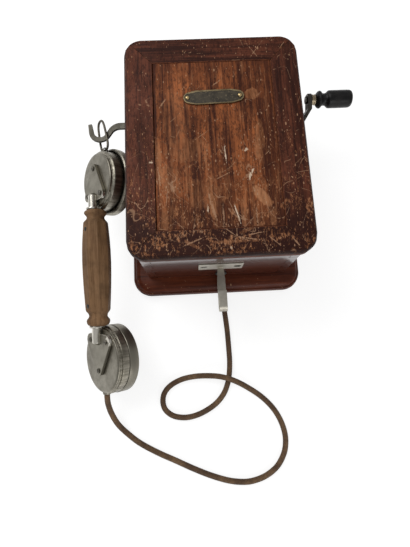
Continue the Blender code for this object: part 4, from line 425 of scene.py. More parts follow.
def shader_group(name, inputs, outputs):
    """An empty node group: the group, what comes into it, and the node that it puts out by. Each input has its
    usual number or colour, or None for a vector; each output is a number, or a colour where its name says so."""
    group = bpy.data.node_groups.new(name, "ShaderNodeTree")
    for label, value in inputs.items():
        kind = "Vector" if value is None else "Color" if isinstance(value, tuple) else "Float"
        socket = group.interface.new_socket(name=label, in_out="INPUT", socket_type="NodeSocket" + kind)
        if value is not None:
            socket.default_value = value
    for label in outputs:
        kind = "Color" if label == "Colour" else "Float"
        group.interface.new_socket(name=label, in_out="OUTPUT", socket_type="NodeSocket" + kind)
    entry = group.nodes.new("NodeGroupInput")
    return group, {socket.name: Signal(socket) for socket in entry.outputs}, group.nodes.new("NodeGroupOutput")


def use_group(group, **inputs):
    """What a node group puts out, placed in the tree that its Vector comes from."""
    node = inputs["Vector"].socket.id_data.nodes.new("ShaderNodeGroup")
    node.node_tree = group
    feed(node, inputs)
    return {socket.name: Signal(socket) for socket in node.outputs}


def wood_grain():
    """Wood with its grain along Y: colour bands, streaks and fine dark pores."""
    group, given, leave = shader_group(
        "wood_grain", {"Vector": None, "Dark": (0.05, 0.014, 0.007, 1.0), "Light": (0.2, 0.08, 0.04, 1.0),
                       "Contrast": 1.0}, ("Colour", "Height", "Figure"))
    along = given["Vector"]
    bands = along.noise(1.0, 3.0, 0.6, (85.0, 5.0, 85.0))
    streaks = along.noise(1.0, 5.0, 0.62, (300.0, 16.0, 300.0), (3.0, 1.0, 7.0))
    lines = along.noise(1.0, 2.0, 0.5, (900.0, 30.0, 900.0), (5.0, 2.0, 1.0))
    pore = along.noise(1.0, 2.0, 0.5, (1500.0, 90.0, 1500.0), (1.0, 8.0, 4.0)).ramp(0.58, 0.70)
    spread = (bands * 0.42 + streaks * 0.40 + lines * 0.18).ramp(0.36, 0.64)
    spread = (spread - 0.5) * given["Contrast"] + 0.5
    colour = (pore * 0.55).between(spread.between(given["Dark"], given["Light"]), given["Dark"])
    feed(leave, {"Colour": colour, "Height": streaks * 0.35 - pore * 0.65, "Figure": spread})
    return group


def edge_wear():
    """How far a point is worn through by rubbing, from its nearness to an outer edge."""
    group, given, leave = shader_group("edge_wear", {"Vector": None, "Width": 0.0012, "Amount": 1.0}, ("Mask",))
    place = given["Vector"]
    rounded = place.through("Bevel", {"samples": 6}, {"Radius": given["Width"]})
    true = place.through("NewGeometry", output="Normal")
    bent = place.through("VectorMath", {"operation": "DOT_PRODUCT"}, {0: rounded, 1: true}, "Value")
    broken = place.noise(170.0, 4.0, 0.65).ramp(0.40, 0.62)
    feed(leave, {"Mask": bent.ramp(0.80, 0.995, 1.0, 0.0) * broken * given["Amount"]})
    return group


def most_of(masks):
    """The strongest of several masks at each point."""
    strongest = masks[0]
    for mask in masks[1:]:
        strongest = strongest.most(mask)
    return strongest


def scratch_marks():
    """Hair lines, specks and bruises in a varnished face. Amount says how many, from 0 to 1."""
    group, given, leave = shader_group("scratch_marks", {"Vector": None, "Amount": 0.5},
                                       ("Lines", "Specks", "Bruises"))
    place, amount = given["Vector"], given["Amount"]
    lines = []
    for scale, width, turn, shift, gate in ((24.0, 0.0022, 0.0, 3.1, 90.0), (15.0, 0.0014, 1.1, 9.7, 75.0),
                                            (46.0, 0.0038, 2.2, 5.3, 150.0), (34.0, 0.0028, 0.6, 1.7, 120.0)):
        turned = place.moved((0.0, 0.0, turn), (shift, shift, 0.0))
        wander = abs(turned.noise(scale, 1.0, 0.4, (1.0, 0.42, 1.0)) - 0.5)
        kept = turned.noise(gate, 4.0, 0.65) + amount * 0.20
        lines.append(wander.ramp(width * 0.3, width, 1.0, 0.0) * kept.ramp(0.655, 0.70))
    kept = place.noise(45.0, 4.0, 0.65).ramp(0.42, 0.66, 0.05, 0.85) * amount
    drawn = place.moved((0.0, 0.0, 0.25), stretch=(1.0, 0.42, 1.0))
    specks = []
    for scale, size in ((260.0, 0.12), (560.0, 0.20), (1000.0, 0.28)):
        cell = add_node(group, "TexVoronoi", None, {"Scale": scale, "Vector": drawn}).outputs
        chance = add_node(group, "SeparateColor", None, {0: Signal(cell["Color"])}).outputs
        spot = Signal(cell["Distance"]).below(Signal(chance[1]) ** 2.0 * (size * 1.6))
        specks.append(spot * Signal(chance[0]).below(kept))
    rubs = place.noise(1.0, 9.0, 0.80, (520.0, 210.0, 520.0), (2.0, 6.0, 0.0))
    crowd = (place.noise(60.0, 3.0, 0.6) - 0.5) * 0.26
    rubs = (rubs + crowd + amount * 0.13).ramp(0.682, 0.702)
    feed(leave, {"Lines": most_of(lines), "Specks": most_of(specks), "Bruises": rubs})
    return group


grain_group = wood_grain()
edge_group = edge_wear()
mark_group = scratch_marks()
upright_grain = (0.0, 0.0, 0.0)
along_x = (0.0, 0.0, math.pi / 2)
along_z = (math.pi / 2, 0.0, 0.0)
bare_wood = (0.265, 0.110, 0.050)
scratch_tone = (0.40, 0.225, 0.130)
varnish_rough = 0.34


def varnished(name, dark, light, turn, shift, amount, wear, coat, relief=0.16, shine=0.30, glossy_below=None):
    """Varnished mahogany: grain under a gloss that scratches, specks and rubbed edges go through. Below a given
    place up the case, where hands and light don't reach, the gloss is whole."""
    made, shader, place = new_material(name)
    grain = use_group(grain_group, Vector=place.moved(turn, shift), Dark=dark, Light=light, Contrast=0.95)
    marks = use_group(mark_group, Vector=place.moved(shift=shift), Amount=amount)
    edges = use_group(edge_group, Vector=place, Amount=wear, Width=0.0011)["Mask"]
    mottle = place.noise(34.0, 4.0, 0.6).ramp(0.32, 0.68)
    colour = (mottle * 0.35).between(grain["Colour"], dark)
    for mask, share, tone in ((marks["Bruises"], 0.55, bare_wood), (edges, 0.75, bare_wood),
                              (marks["Lines"], 0.6, scratch_tone), (marks["Specks"], 0.8, scratch_tone)):
        colour = (mask * share).between(colour, tone)
    bare = most_of([marks["Bruises"], edges, marks["Specks"]])
    film, film_rough = (1.0 - bare) * coat, varnish_rough * 0.6
    if glossy_below is not None:
        whole = place.parts()[1].ramp(glossy_below, glossy_below + 0.0005, 1.0, 0.0)
        film, film_rough = film.most(whole), whole.ramp(0.0, 1.0, film_rough, 0.10)
    rough = mottle.ramp(0.0, 1.0, varnish_rough * 0.85, varnish_rough * 1.15) + bare * 0.35
    surface(shader, colour, rough, grain["Height"] - marks["Lines"] * 0.5, relief, 0.00022,
            {"Coat Weight": film, "Coat Roughness": film_rough, "Specular IOR Level": shine})
    return made


board = eased_copy("moulded_back_board", "back_board", "case", 0.0, (0.0669, 0.0901), 50.0)
dress(board, "varnished_wood", varnished("board_varnish", (0.040, 0.0072, 0.0030), (0.150, 0.034, 0.0125), along_x,
                                         (0.3, 0.1, 0.2), 0.14, 0.5, 0.03, 0.10, 0.14))

# Case walls.
# Four mahogany boards finger-jointed at the corners, with a redder, glossier varnish than the door because
# hands and light reach them less.
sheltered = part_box("case_wall_bottom")[0].y + 0.0004
for count, (side, turn) in enumerate((("left", upright_grain), ("right", upright_grain), ("top", along_x),
                                      ("bottom", along_x))):
    wall = eased_copy("jointed_wall_" + side, "case_wall_" + side, "case", 0.0001)
    dress(wall, "varnished_wood", varnished(
        "case_wall_" + side + "_varnish", (0.036, 0.0088, 0.0048), (0.118, 0.029, 0.0145), turn,
        (0.11 * count, 0.23 * count, 0.05), 0.06, 0.25, 0.22, 0.05, 0.14, sheltered))

# Door.
# A mitred mahogany frame round a flush panel with its grain upright. A century of handling has rubbed the
# varnish off in patches, scored it, and blackened its foot. Its rim is darker, partly grime and partly painted
# shade along the edge.
def flat_reach(across, up):
    """How far a point is from the middle, across and up."""
    flat = across.through("CombineXYZ", None, {0: across, 1: up})
    return across.through("VectorMath", {"operation": "LENGTH"}, {0: flat}, "Value")


def worn_patch():
    """The bare middle and ragged edge of one rubbed patch, at a place, of a size, turned about Z."""
    group, given, leave = shader_group("worn_patch", {"Vector": None, "Place": None, "Size": None, "Turn": None,
                                                      "Ragged": 0.8, "Fineness": 1.0}, ("Mask",))
    place = given["Vector"]
    local = place.through("Mapping", {"vector_type": "TEXTURE"}, {
        "Vector": place, "Location": given["Place"], "Rotation": given["Turn"], "Scale": given["Size"]})
    ragged = place.scaled(given["Fineness"]).noise(200.0, 8.0, 0.72, (1.0, 0.45, 1.0))
    ragged = (ragged - 0.5) * given["Ragged"]
    feed(leave, {"Mask": (flat_reach(*local.parts()[:2]) + ragged * 2.4).ramp(0.85, 1.0, 1.0, 0.0)})
    return group


patch_group = worn_patch()


def patch(place, across, up, wide, tall, degrees, ragged, fineness=1.0):
    """The mask of one patch in the door's face."""
    return use_group(patch_group, Vector=place, Place=(across, up, 0.0), Size=(wide, tall, 1.0), Ragged=ragged,
                     Fineness=fineness, Turn=(0.0, 0.0, math.radians(degrees)))["Mask"]


# Across and up the door, half width, half height and turn of each patch, in metres and degrees, with how
# bare it is and how ragged. The last four are on the frame too.
rubbed_patches = (
    (0.0322, 0.0405, 0.0066, 0.0058, 0.0, 0.75, 0.6), (0.0334, -0.0508, 0.0048, 0.0118, 38.0, 1.0, 0.35),
    (-0.0063, -0.0575, 0.0030, 0.0120, 4.0, 0.9, 0.8), (0.0352, -0.0020, 0.0042, 0.0240, -4.0, 0.55, 0.7),
    (-0.0250, -0.0083, 0.0180, 0.0110, 0.0, 0.45, 1.0), (-0.0330, 0.0200, 0.0120, 0.0300, 0.0, 0.22, 1.0),
    (-0.0414, -0.0330, 0.0070, 0.0130, 8.0, 0.5, 1.0), (-0.0100, -0.0480, 0.0160, 0.0150, -10.0, 0.42, 1.1),
    (0.0250, -0.0765, 0.0100, 0.0016, 20.0, 0.45, 1.9), (-0.0240, -0.0885, 0.0100, 0.0012, -32.0, 0.40, 2.0),
    (0.0080, -0.0875, 0.0170, 0.0014, 0.0, 0.35, 2.2), (-0.0480, -0.0180, 0.0030, 0.0220, 0.0, 0.5, 0.9))
# The place, size and turn of each chip that goes through to pale wood, and of each short score in the varnish
pale_chips = (
    (0.0252, -0.0338, 0.0011, 0.0035, -18.0), (0.0235, -0.0104, 0.0012, 0.0016, -30.0),
    (0.0066, -0.0130, 0.0006, 0.0070, 2.0), (0.0129, -0.0650, 0.0006, 0.0075, 14.0),
    (0.0064, -0.0925, 0.0009, 0.0016, 30.0), (-0.0537, -0.0186, 0.0014, 0.0009, 0.0),
    (0.0275, -0.0290, 0.0008, 0.0030, -25.0), (-0.0100, -0.0600, 0.0007, 0.0040, 0.0))
short_scores = (
    (-0.0219, -0.0860, 0.0005, 0.0090, -68), (-0.0335, -0.0811, 0.0003, 0.0034, -31),
    (-0.0216, -0.0740, 0.0003, 0.0077, -11), (-0.0133, -0.0775, 0.0002, 0.0025, -55),
    (0.0065, -0.0797, 0.0004, 0.0065, 51), (0.0203, -0.0854, 0.0005, 0.0088, 79),
    (0.0254, -0.0818, 0.0005, 0.0070, -81), (0.0406, -0.0886, 0.0004, 0.0052, 46),
    (0.0281, -0.0691, 0.0006, 0.0067, 1), (0.0020, -0.0665, 0.0007, 0.0095, 0),
    (-0.0055, -0.0619, 0.0010, 0.0075, 11), (-0.0082, -0.0508, 0.0006, 0.0048, 5),
    (-0.0476, -0.0306, 0.0007, 0.0079, 7), (-0.0492, -0.0359, 0.0005, 0.0024, 3),
    (-0.0420, -0.0492, 0.0003, 0.0069, -7), (-0.0647, -0.0553, 0.0003, 0.0042, 35),
    (-0.0369, -0.0394, 0.0004, 0.0054, 5), (0.0101, -0.0622, 0.0003, 0.0111, 22),
    (0.0684, -0.0313, 0.0002, 0.0068, -81), (0.0569, -0.0899, 0.0005, 0.0045, 35),
    (-0.0105, 0.0051, 0.0002, 0.0084, -55), (-0.0097, 0.0011, 0.0002, 0.0042, 34),
    (0.0358, 0.0826, 0.0004, 0.0060, 32), (0.0384, 0.0831, 0.0003, 0.0083, -36),
    (0.0622, 0.0879, 0.0003, 0.0031, -37), (-0.0424, 0.0352, 0.0005, 0.0048, -34),
    (0.0035, 0.0528, 0.0005, 0.0042, -53), (0.0410, -0.0134, 0.0003, 0.0031, -46),
    (-0.0330, -0.0720, 0.0002, 0.0088, 43), (-0.0423, -0.0759, 0.0002, 0.0078, 82),
    (0.0031, -0.0326, 0.0003, 0.0069, -64), (-0.0047, -0.0728, 0.0002, 0.0049, 41))
door_centre = (0.0595, 0.0828)
door_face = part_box("door_panel")[1].z


def door_scores():
    """Every short score in the door's face, as one mask."""
    group, given, leave = shader_group("door_scores", {"Vector": None}, ("Mask",))
    feed(leave, {"Mask": most_of([patch(given["Vector"], *score, 2.3, 5.0) for score in short_scores])})
    return group


def door_rim():
    """How near a point is to the door's outer edge, where a dark band is painted: partly grime, partly painted shade.
    """
    group, given, leave = shader_group("door_rim", {"Vector": None}, ("Mask",))
    place = given["Vector"]
    past = [(abs(part) - centre).most(0.0) for part, centre in zip(place.parts(), door_centre)]
    reach = flat_reach(*past) + (place.noise(90.0, 5.0, 0.7) - 0.5) * 0.0030
    feed(leave, {"Mask": reach.ramp(0.0125, 0.0150)})
    return group


score_group = door_scores()
rim_grime_and_shade_group = door_rim()


def door_varnish(name, dark, light, turn, shift, patched):
    """The door's worn varnish. Its marks are the same on every member, so they cross the joints."""
    made, shader, place = new_material(name)
    across, up, out = place.parts()
    front = out.ramp(door_face - 0.0060, door_face - 0.0035)
    amount = up.ramp(-0.085, 0.045, 1.0, 0.38)
    grain = use_group(grain_group, Vector=place.moved(turn, shift), Dark=dark, Light=light, Contrast=1.55)
    marks = use_group(mark_group, Vector=place, Amount=amount)
    edges = use_group(edge_group, Vector=place, Amount=0.45, Width=0.0009)["Mask"]
    cloud = place.noise(24.0, 4.0, 0.62)
    mottle = place.noise(60.0, 5.0, 0.66, (1.0, 0.55, 1.0)).ramp(0.30, 0.70)
    colour = (mottle * 0.42).between(grain["Colour"], dark)
    crazed = place.noise(1.0, 7.0, 0.78, (620.0, 200.0, 620.0), (3.0, 9.0, 0.0)).ramp(0.47, 0.60)
    colour = (crazed * front * 0.68).between(colour, (0.020, 0.0050, 0.0026))
    worn = marks["Bruises"] * (0.85 if patched else 0.80)
    if patched:
        right = (across + cloud * 0.012).ramp(0.036, 0.054)
        upper = (up + cloud * 0.02).ramp(0.060, 0.082)
        colour = (upper * 0.30).between((right * 0.58).between(colour, dark), dark)
        streaked = place.noise(1.0, 7.0, 0.70, (330.0, 20.0, 330.0), (7.0, 3.0, 0.0)) + amount * 0.08
        worn = worn.most(streaked.ramp(0.60, 0.66) * 0.42)
    foot = (up + (cloud - 0.5) * 0.075).ramp(-0.074, -0.050, 1.0, 0.0)
    colour = (foot * front * (0.60 if patched else 0.88)).between(colour, (0.024, 0.0064, 0.0042))
    threadbare = place.noise(1.0, 7.0, 0.74, (420.0, 60.0, 420.0), (4.0, 1.0, 0.0)).ramp(0.40, 0.60, 0.45, 1.30)
    for *spot, bare, ragged in (rubbed_patches if patched else rubbed_patches[-4:]):
        rubbed = patch(place, *spot, ragged) * bare
        worn = worn.most(rubbed * threadbare if bare < 1.0 else rubbed)
    worn = worn * front
    fleck = place.noise(1.0, 6.0, 0.7, (700.0, 160.0, 700.0), (1.0, 5.0, 0.0))
    tone = grain["Figure"] * 0.55 + fleck.ramp(0.36, 0.64, 0.0, 0.5)
    colour = worn.between(colour, tone.between((0.135, 0.045, 0.015), (0.43, 0.190, 0.088)))
    colour = (edges * 0.6).between(colour, bare_wood)
    for mask, share in ((marks["Lines"], 0.55), (use_group(score_group, Vector=place)["Mask"], 0.70),
                        (marks["Specks"], 0.75)):
        colour = (mask * front * share).between(colour, scratch_tone)
    rim = use_group(rim_grime_and_shade_group, Vector=place)["Mask"]
    # The dark band round the door's rim is partly grime and partly painted shade along the edge.
    colour = (rim * front * 0.72).between(colour, (0.017, 0.0060, 0.0050))
    chip_wood = fleck.ramp(0.38, 0.62).between((0.42, 0.28, 0.18), (0.68, 0.53, 0.40))
    for spot in pale_chips:
        colour = (patch(place, *spot, 1.6, 4.0) * front).between(colour, chip_wood)
    bare = worn.most(marks["Specks"])
    surface(shader, colour, mottle.ramp(0.0, 1.0, 0.46, 0.60) + bare * 0.22,
            grain["Height"] - marks["Lines"] * 0.5 - bare * 0.4, 0.45, 0.00030, {"Specular IOR Level": 0.12})
    return made


for node, name, turn, shift in (("door_stile_left", "hinge_stile", upright_grain, (0.4, 0.7, 0.1)),
                                ("door_stile_right", "lock_stile", upright_grain, (0.9, 0.2, 0.3)),
                                ("door_rail_top", "upper_rail", along_x, (0.2, 0.5, 0.6)),
                                ("door_rail_bottom", "lower_rail", along_x, (0.7, 0.1, 0.2))):
    member = eased_copy(name, node, "door", 0.00012, door_centre)
    dress(member, "varnished_wood", door_varnish(name + "_varnish", (0.030, 0.0078, 0.0042), (0.140, 0.041, 0.0205),
                                                 turn, shift, False))
panel = eased_copy("flush_panel", "door_panel", "door", 0.00012)
panel_lift = 0.0007
for vertex in panel.data.vertices:
    if vertex.co.z > door_face - 0.0005:
        vertex.co.z += panel_lift
dress(panel, "varnished_wood", door_varnish("panel_varnish", (0.052, 0.0125, 0.0048), (0.355, 0.108, 0.034),
                                            upright_grain, (0.0, 0.0, 0.0), True))

# Glue lines.
# Old glue and varnish fill the panel's joints, all but the one beside the hinges, which has opened.
low = Vector((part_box("door_stile_left")[1].x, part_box("door_rail_bottom")[1].y, 0.0))
high = Vector((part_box("door_stile_right")[0].x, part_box("door_rail_top")[0].y, door_face + panel_lift))
old_glue, shader, place = new_material("old_glue")
crust = place.noise(500.0, 5.0, 0.7)
surface(shader, crust.ramp(0.36, 0.64).between((0.060, 0.017, 0.008), (0.150, 0.048, 0.022)),
        crust.ramp(0.3, 0.7, 0.50, 0.70), crust, 0.3, 0.0002, {"Specular IOR Level": 0.12})
line_half, line_proud, line_deep = 0.00060, 0.00004, 0.0012
for side, near, far in (("right", (high.x, low.y), (high.x, high.y)), ("top", (low.x, high.y), (high.x, high.y)),
                        ("bottom", (low.x, low.y), (high.x, low.y))):
    bpy.ops.object.select_all(action="DESELECT")
    bpy.ops.mesh.primitive_cube_add(size=1.0)
    glue = bpy.context.object
    glue.name = glue.data.name = "glue_line_" + side
    middle = Vector(((near[0] + far[0]) / 2, (near[1] + far[1]) / 2, high.z + line_proud - line_deep / 2))
    size = (abs(far[0] - near[0]) + 2 * line_half, abs(far[1] - near[1]) + 2 * line_half, line_deep)
    glue.data.transform(Matrix.Translation(middle) @ Matrix.Diagonal((*size, 1.0)))
    finish_edges(glue, 0.0)
    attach(glue, "door")
    dress(glue, "varnished_wood", old_glue)

# Name plate.
# A thin brass plate with shouldered round ends, left bare: its field is sunk and blackened, its border is
# rubbed back to the brass, and a domed brass pin holds each end.
def tarnish_film():
    """Clouds of tarnish, pits of grime and hair scratches on metal."""
    group, given, leave = shader_group(
        "tarnish", {"Vector": None, "Clean": (0.5, 0.47, 0.4, 1.0), "Dull": (0.3, 0.27, 0.22, 1.0),
                    "Grime": (0.05, 0.04, 0.03, 1.0), "Scale": 1.0, "Tarnish": 0.5, "Roughness": 0.3},
        ("Colour", "Roughness", "Height"))
    place = given["Vector"].scaled(given["Scale"])
    cloud = place.noise(75.0, 5.0, 0.62).ramp(0.30, 0.70)
    fine = place.noise(620.0, 3.0, 0.6)
    pits = place.noise(330.0, 4.0, 0.7, shift=(4.0, 1.0, 2.0)).ramp(0.62, 0.74)
    hairs = []
    for scale, width, turn, shift in ((60.0, 0.0080, 0.5, 1.0), (95.0, 0.0110, 1.9, 6.0)):
        turned = place.moved((turn, 0.3, turn), (shift, 0.0, shift))
        line = abs(turned.noise(scale, 0.0, 0.4) - 0.5).ramp(width * 0.3, width, 1.0, 0.0)
        hairs.append(line * turned.noise(85.0, 2.0).ramp(0.52, 0.60))
    hair = most_of(hairs)
    colour = (cloud * given["Tarnish"]).between(given["Clean"], given["Dull"])
    colour = (pits * (given["Tarnish"] * 0.6 + 0.15)).between(colour, given["Grime"])
    colour = (hair * 0.35).between(colour, given["Clean"], "LIGHTEN")
    rough = given["Roughness"] + cloud * 0.14 + (fine - 0.5) * 0.12 + pits * 0.2
    feed(leave, {"Colour": colour, "Roughness": rough, "Height": fine * 0.4 - pits * 0.6 - hair * 0.5})
    return group


tarnish_group = tarnish_film()
cup_back, cup_back_edge = 0.0003, 0.0012


def own_place(shader):
    """Where a point is in its turned piece's own frame."""
    return Signal(add_node(shader.id_data, "Attribute", {"attribute_name": "own_place"}).outputs["Vector"])


def metal(name, clean, dull, grime, rough, scale=1.0, tarnish=0.5, brushed=0.0, seam=None):
    """Old plated or bare metal: clouds of tarnish, grime in its hollows, hair scratches and worn edges. Turned
    metal may be brushed along its axis, and a cup has a dulled back and a dark line at its seam, partly grime and
    partly painted shade in the crevice."""
    made, shader, place = new_material(name)
    place = own_place(shader) if brushed else place
    film = use_group(tarnish_group, Vector=place, Clean=clean, Dull=dull, Grime=grime, Scale=scale,
                     Tarnish=tarnish, Roughness=rough)
    edges = use_group(edge_group, Vector=place, Amount=0.8, Width=0.0005)["Mask"]
    colour = (edges * 0.5).between(film["Colour"], tuple(min(1.0, value * 1.25) for value in clean))
    height = film["Height"]
    if brushed:
        streaks = place.noise(1.0, 4.0, 0.65, (420.0, 420.0, 30.0)).ramp(0.40, 0.62, 0.0, brushed)
        if seam is not None:
            level = place.parts()[2]
            colour = level.ramp(cup_back, cup_back + cup_back_edge, 0.36, 0.0).between(colour, (0.02, 0.018, 0.014))
            # A dark line at the seam between case and cap: partly grime, partly painted shade in the crevice.
            colour = abs(level - seam).ramp(0.00020, 0.00055, 0.85, 0.0).between(colour, (0.010, 0.009, 0.007))
            streaks = streaks * level.ramp(cup_back, cup_back + 0.001, 0.15, 1.0)
        colour = streaks.between(colour, grime)
        height = height + place.noise(1.0, 2.0, 0.5, (1400.0, 1400.0, 60.0)) * brushed
    surface(shader, colour, film["Roughness"], height, 0.25, 0.00012, {"Metallic": 1.0})
    return made


brass = metal("aged_brass", (0.50, 0.36, 0.16), (0.26, 0.18, 0.085), (0.05, 0.035, 0.02), 0.34, tarnish=0.7)
plate = eased_copy("bare_name_plate", "name_plate", "door", 0.0, smooth=30.0)
plate_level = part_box("name_plate")[1].z
plate_border, border_slope, field_sunk = 0.00085, 0.00025, 0.00030
pick(plate)
bpy.ops.object.mode_set(mode="EDIT")
bpy.ops.mesh.select_all(action="DESELECT")
bpy.ops.object.mode_set(mode="OBJECT")
for face in plate.data.polygons:
    face.select = face.normal.z > 0.9 and face.center.z > plate_level - 0.0001
bpy.ops.object.mode_set(mode="EDIT")
bpy.ops.mesh.dissolve_limited(angle_limit=math.radians(1.0))
bpy.ops.mesh.inset(thickness=plate_border, depth=0.0)
bpy.ops.mesh.inset(thickness=border_slope, depth=-field_sunk)
bpy.ops.object.mode_set(mode="OBJECT")
plate_brass = metal("plate_brass", (0.28, 0.215, 0.12), (0.12, 0.090, 0.052), (0.03, 0.024, 0.016), 0.42,
                    tarnish=0.9)
plate_field, shader, place = new_material("plate_field")
clouds = place.noise(140.0, 5.0, 0.65).ramp(0.35, 0.68)
rubbed = place.noise(420.0, 4.0, 0.7, (1.0, 1.6, 1.0)).ramp(0.55, 0.66)
field_colour = clouds.between((0.027, 0.021, 0.013), (0.062, 0.049, 0.030))
surface(shader, (rubbed * 0.6).between(field_colour, (0.190, 0.145, 0.082)), clouds.ramp(0.0, 1.0, 0.42, 0.62),
        rubbed, 0.35, 0.00012, {"Metallic": 0.35})
dress(plate, "dark_plate", plate_brass, plate_field)
for face in plate.data.polygons:
    face.material_index = 1 if face.normal.z > 0.9 and face.center.z < plate_level - 0.0002 else 0
plate.data.transform(Matrix.Translation((0.0, 0.0, panel_lift)))


def keep_own_place(made):
    """Stores each point's place in the piece's own frame, for patterns that follow its shape."""
    kept = made.data.attributes
    layer = kept.get("own_place") or kept.new("own_place", "FLOAT_VECTOR", "POINT")
    layer.data.foreach_set("vector", [value for vertex in made.data.vertices for value in vertex.co])


def turned_piece(name, profile, place, body=None, steps=72, closed=False, smooth=38.0):
    """A piece turned on a lathe: a profile of radius and height, spun round an axis and set in its place."""
    bpy.ops.object.select_all(action="DESELECT")
    bpy.ops.mesh.primitive_plane_add(size=0.001)
    made = bpy.context.object
    made.name = made.data.name = name
    bpy.ops.object.mode_set(mode="EDIT")
    bpy.ops.mesh.select_all(action="SELECT")
    bpy.ops.mesh.merge(type="CENTER")
    bpy.ops.transform.translate(value=(profile[0][0], 0.0, profile[0][1]))
    path = list(profile) + ([profile[0]] if closed else [])
    for (radius_a, height_a), (radius_b, height_b) in zip(path, path[1:]):
        move = {"value": (radius_b - radius_a, 0.0, height_b - height_a)}
        bpy.ops.mesh.extrude_vertices_move(TRANSFORM_OT_translate=move)
    bpy.ops.mesh.select_all(action="SELECT")
    bpy.ops.mesh.spin(steps=steps, angle=math.tau, center=(0.0, 0.0, 0.0), axis=(0.0, 0.0, 1.0))
    bpy.ops.mesh.select_all(action="SELECT")
    bpy.ops.mesh.remove_doubles(threshold=1e-6)
    bpy.ops.mesh.normals_make_consistent(inside=False)
    bpy.ops.object.mode_set(mode="OBJECT")
    finish_edges(made, 0.0, smooth)
    keep_own_place(made)
    made.data.transform(place)
    if body:
        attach(made, body)
    return made


def upright(point, across=(1.0, 0.0, 0.0), up=(0.0, 0.0, 1.0)):
    """The place of a turned piece: its foot, and the direction of its axis."""
    axis = Vector(up).normalized()
    side = Vector(across)
    side = (side - axis * side.dot(axis)).normalized()
    turn = Matrix((side, axis.cross(side), axis)).transposed()
    return Matrix.Translation(Vector(point)) @ turn.to_4x4()


def middle_of(node):
    """The middle of a CAD node's box."""
    low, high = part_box(node)
    return (low + high) / 2


pin_brass = metal("pin_brass", (0.60, 0.45, 0.22), (0.36, 0.26, 0.12), (0.08, 0.05, 0.03), 0.28, 2.0, 0.5)
for side in ("left", "right"):
    node = "name_plate_pin_" + side
    low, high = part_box(node)
    rise = high.z - low.z
    dome = [(0.0, rise), (0.0006, rise * 0.97), (0.0011, rise * 0.82), (0.0015, rise * 0.50), (0.0017, rise * 0.15),
            (0.0017, 0.0), (0.0, 0.0)]
    foot = (*middle_of(node).xy, low.z + panel_lift)
    pin = turned_piece("domed_pin_" + side, dome, upright(foot), "door", 32)
    dress(pin, "brass", pin_brass, node=node)

# Hinges and catch.
# Brass leaves let into the case and the door, each pair on a fixed pin, and a brass tongue on the door
# that snaps into a sprung clip inside the case.
def plate_nodes(material, names):
    """Gives CAD nodes that are shown as they are their material."""
    for name in names:
        nodes[name].data.materials.clear()
        nodes[name].data.materials.append(material)


plate_nodes(brass, ("hinge_leaf_case_upper", "hinge_leaf_case_lower", "hinge_leaf_door_upper",
                    "hinge_leaf_door_lower", "door_catch_tongue", "door_catch_clip", "hook_bracket",
                    "contact_spring_1", "contact_spring_2", "magneto_plate_left", "magneto_plate_right",
                    "gong_left", "gong_right", "drive_gear"))

# Switch hook.
# A flat nickelled lever through a slot in the case's left wall. It ends in an upturned bowl that the
# handset's wire bail hangs from, and its tail works the contact springs.
lever = eased_copy("nickelled_lever", "hook_lever", "switch_hook", 0.00045)
dress(lever, "nickel", metal("lever_nickel", (0.105, 0.098, 0.082), (0.060, 0.055, 0.044), (0.022, 0.018, 0.013),
                             0.42, tarnish=0.8))

# Crank.
# A flat steel arm nutted to the geared shaft, cranked outwards to a turned black knob that spins on a
# riveted spindle behind a nickelled ferrule.
dark_steel = metal("dark_steel", (0.085, 0.077, 0.066), (0.038, 0.033, 0.028), (0.012, 0.010, 0.008), 0.40,
                   tarnish=0.8)
for node, name in (("crank_shaft", "geared_shaft"), ("crank_arm", "cranked_arm"),
                   ("knob_spindle", "riveted_spindle")):
    dress(eased_copy(name, node, "crank", 0.0003), "steel", dark_steel)
knob_low, knob_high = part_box("crank_knob")
knob_middle = middle_of("crank_knob")
knob_length = knob_high.x - knob_low.x
knob_radius = (knob_high.z - knob_low.z) / 2
knob_bore, rivet_well, rivet_well_deep = 0.0026, 0.0039, 0.0012
# Radius and place along the knob, as shares of its own
knob_turns = ((0.55, 0.0), (0.66, 0.012), (0.80, 0.035), (0.93, 0.065), (0.99, 0.095), (0.985, 0.115),
              (0.92, 0.14), (0.80, 0.160), (0.72, 0.185), (0.685, 0.215), (0.68, 0.240), (0.70, 0.265),
              (0.76, 0.295), (0.87, 0.320), (0.95, 0.340), (0.99, 0.365), (1.0, 0.40), (1.0, 0.86), (0.985, 0.92),
              (0.95, 0.955), (0.88, 0.982), (0.78, 0.997), (0.60, 1.0))
knob_profile = [(knob_radius * share, knob_length * along) for share, along in knob_turns]
knob_profile += [(rivet_well, knob_length), (rivet_well, knob_length - rivet_well_deep),
                 (knob_bore, knob_length - rivet_well_deep), (knob_bore, 0.0)]
knob_axis = ((0.0, 1.0, 0.0), (1.0, 0.0, 0.0))
knob = turned_piece("turned_knob", knob_profile, upright((knob_low.x, *knob_middle.yz), *knob_axis), "knob", 64, True)
knob_ebonite, shader, place = new_material("knob_ebonite")
cloud = place.noise(120.0, 5.0, 0.65).ramp(0.35, 0.70)
ring_marks = own_place(shader).noise(1.0, 2.0, 0.5, (40.0, 40.0, 2400.0))
scuffs = place.noise(420.0, 4.0, 0.7).ramp(0.60, 0.70)
knob_colour = cloud.between((0.0040, 0.0037, 0.0040), (0.0100, 0.0088, 0.0084))
surface(shader, (scuffs * 0.5).between(knob_colour, (0.036, 0.032, 0.029)),
        cloud.ramp(0.0, 1.0, 0.34, 0.50) + scuffs * 0.2, ring_marks - scuffs, 0.2, 0.00010,
        {"Specular IOR Level": 0.25})
dress(knob, "ebonite", knob_ebonite, node="crank_knob")


def in_mm(points):
    """A profile written in millimetres."""
    return [(radius * 0.001, along * 0.001) for radius, along in points]


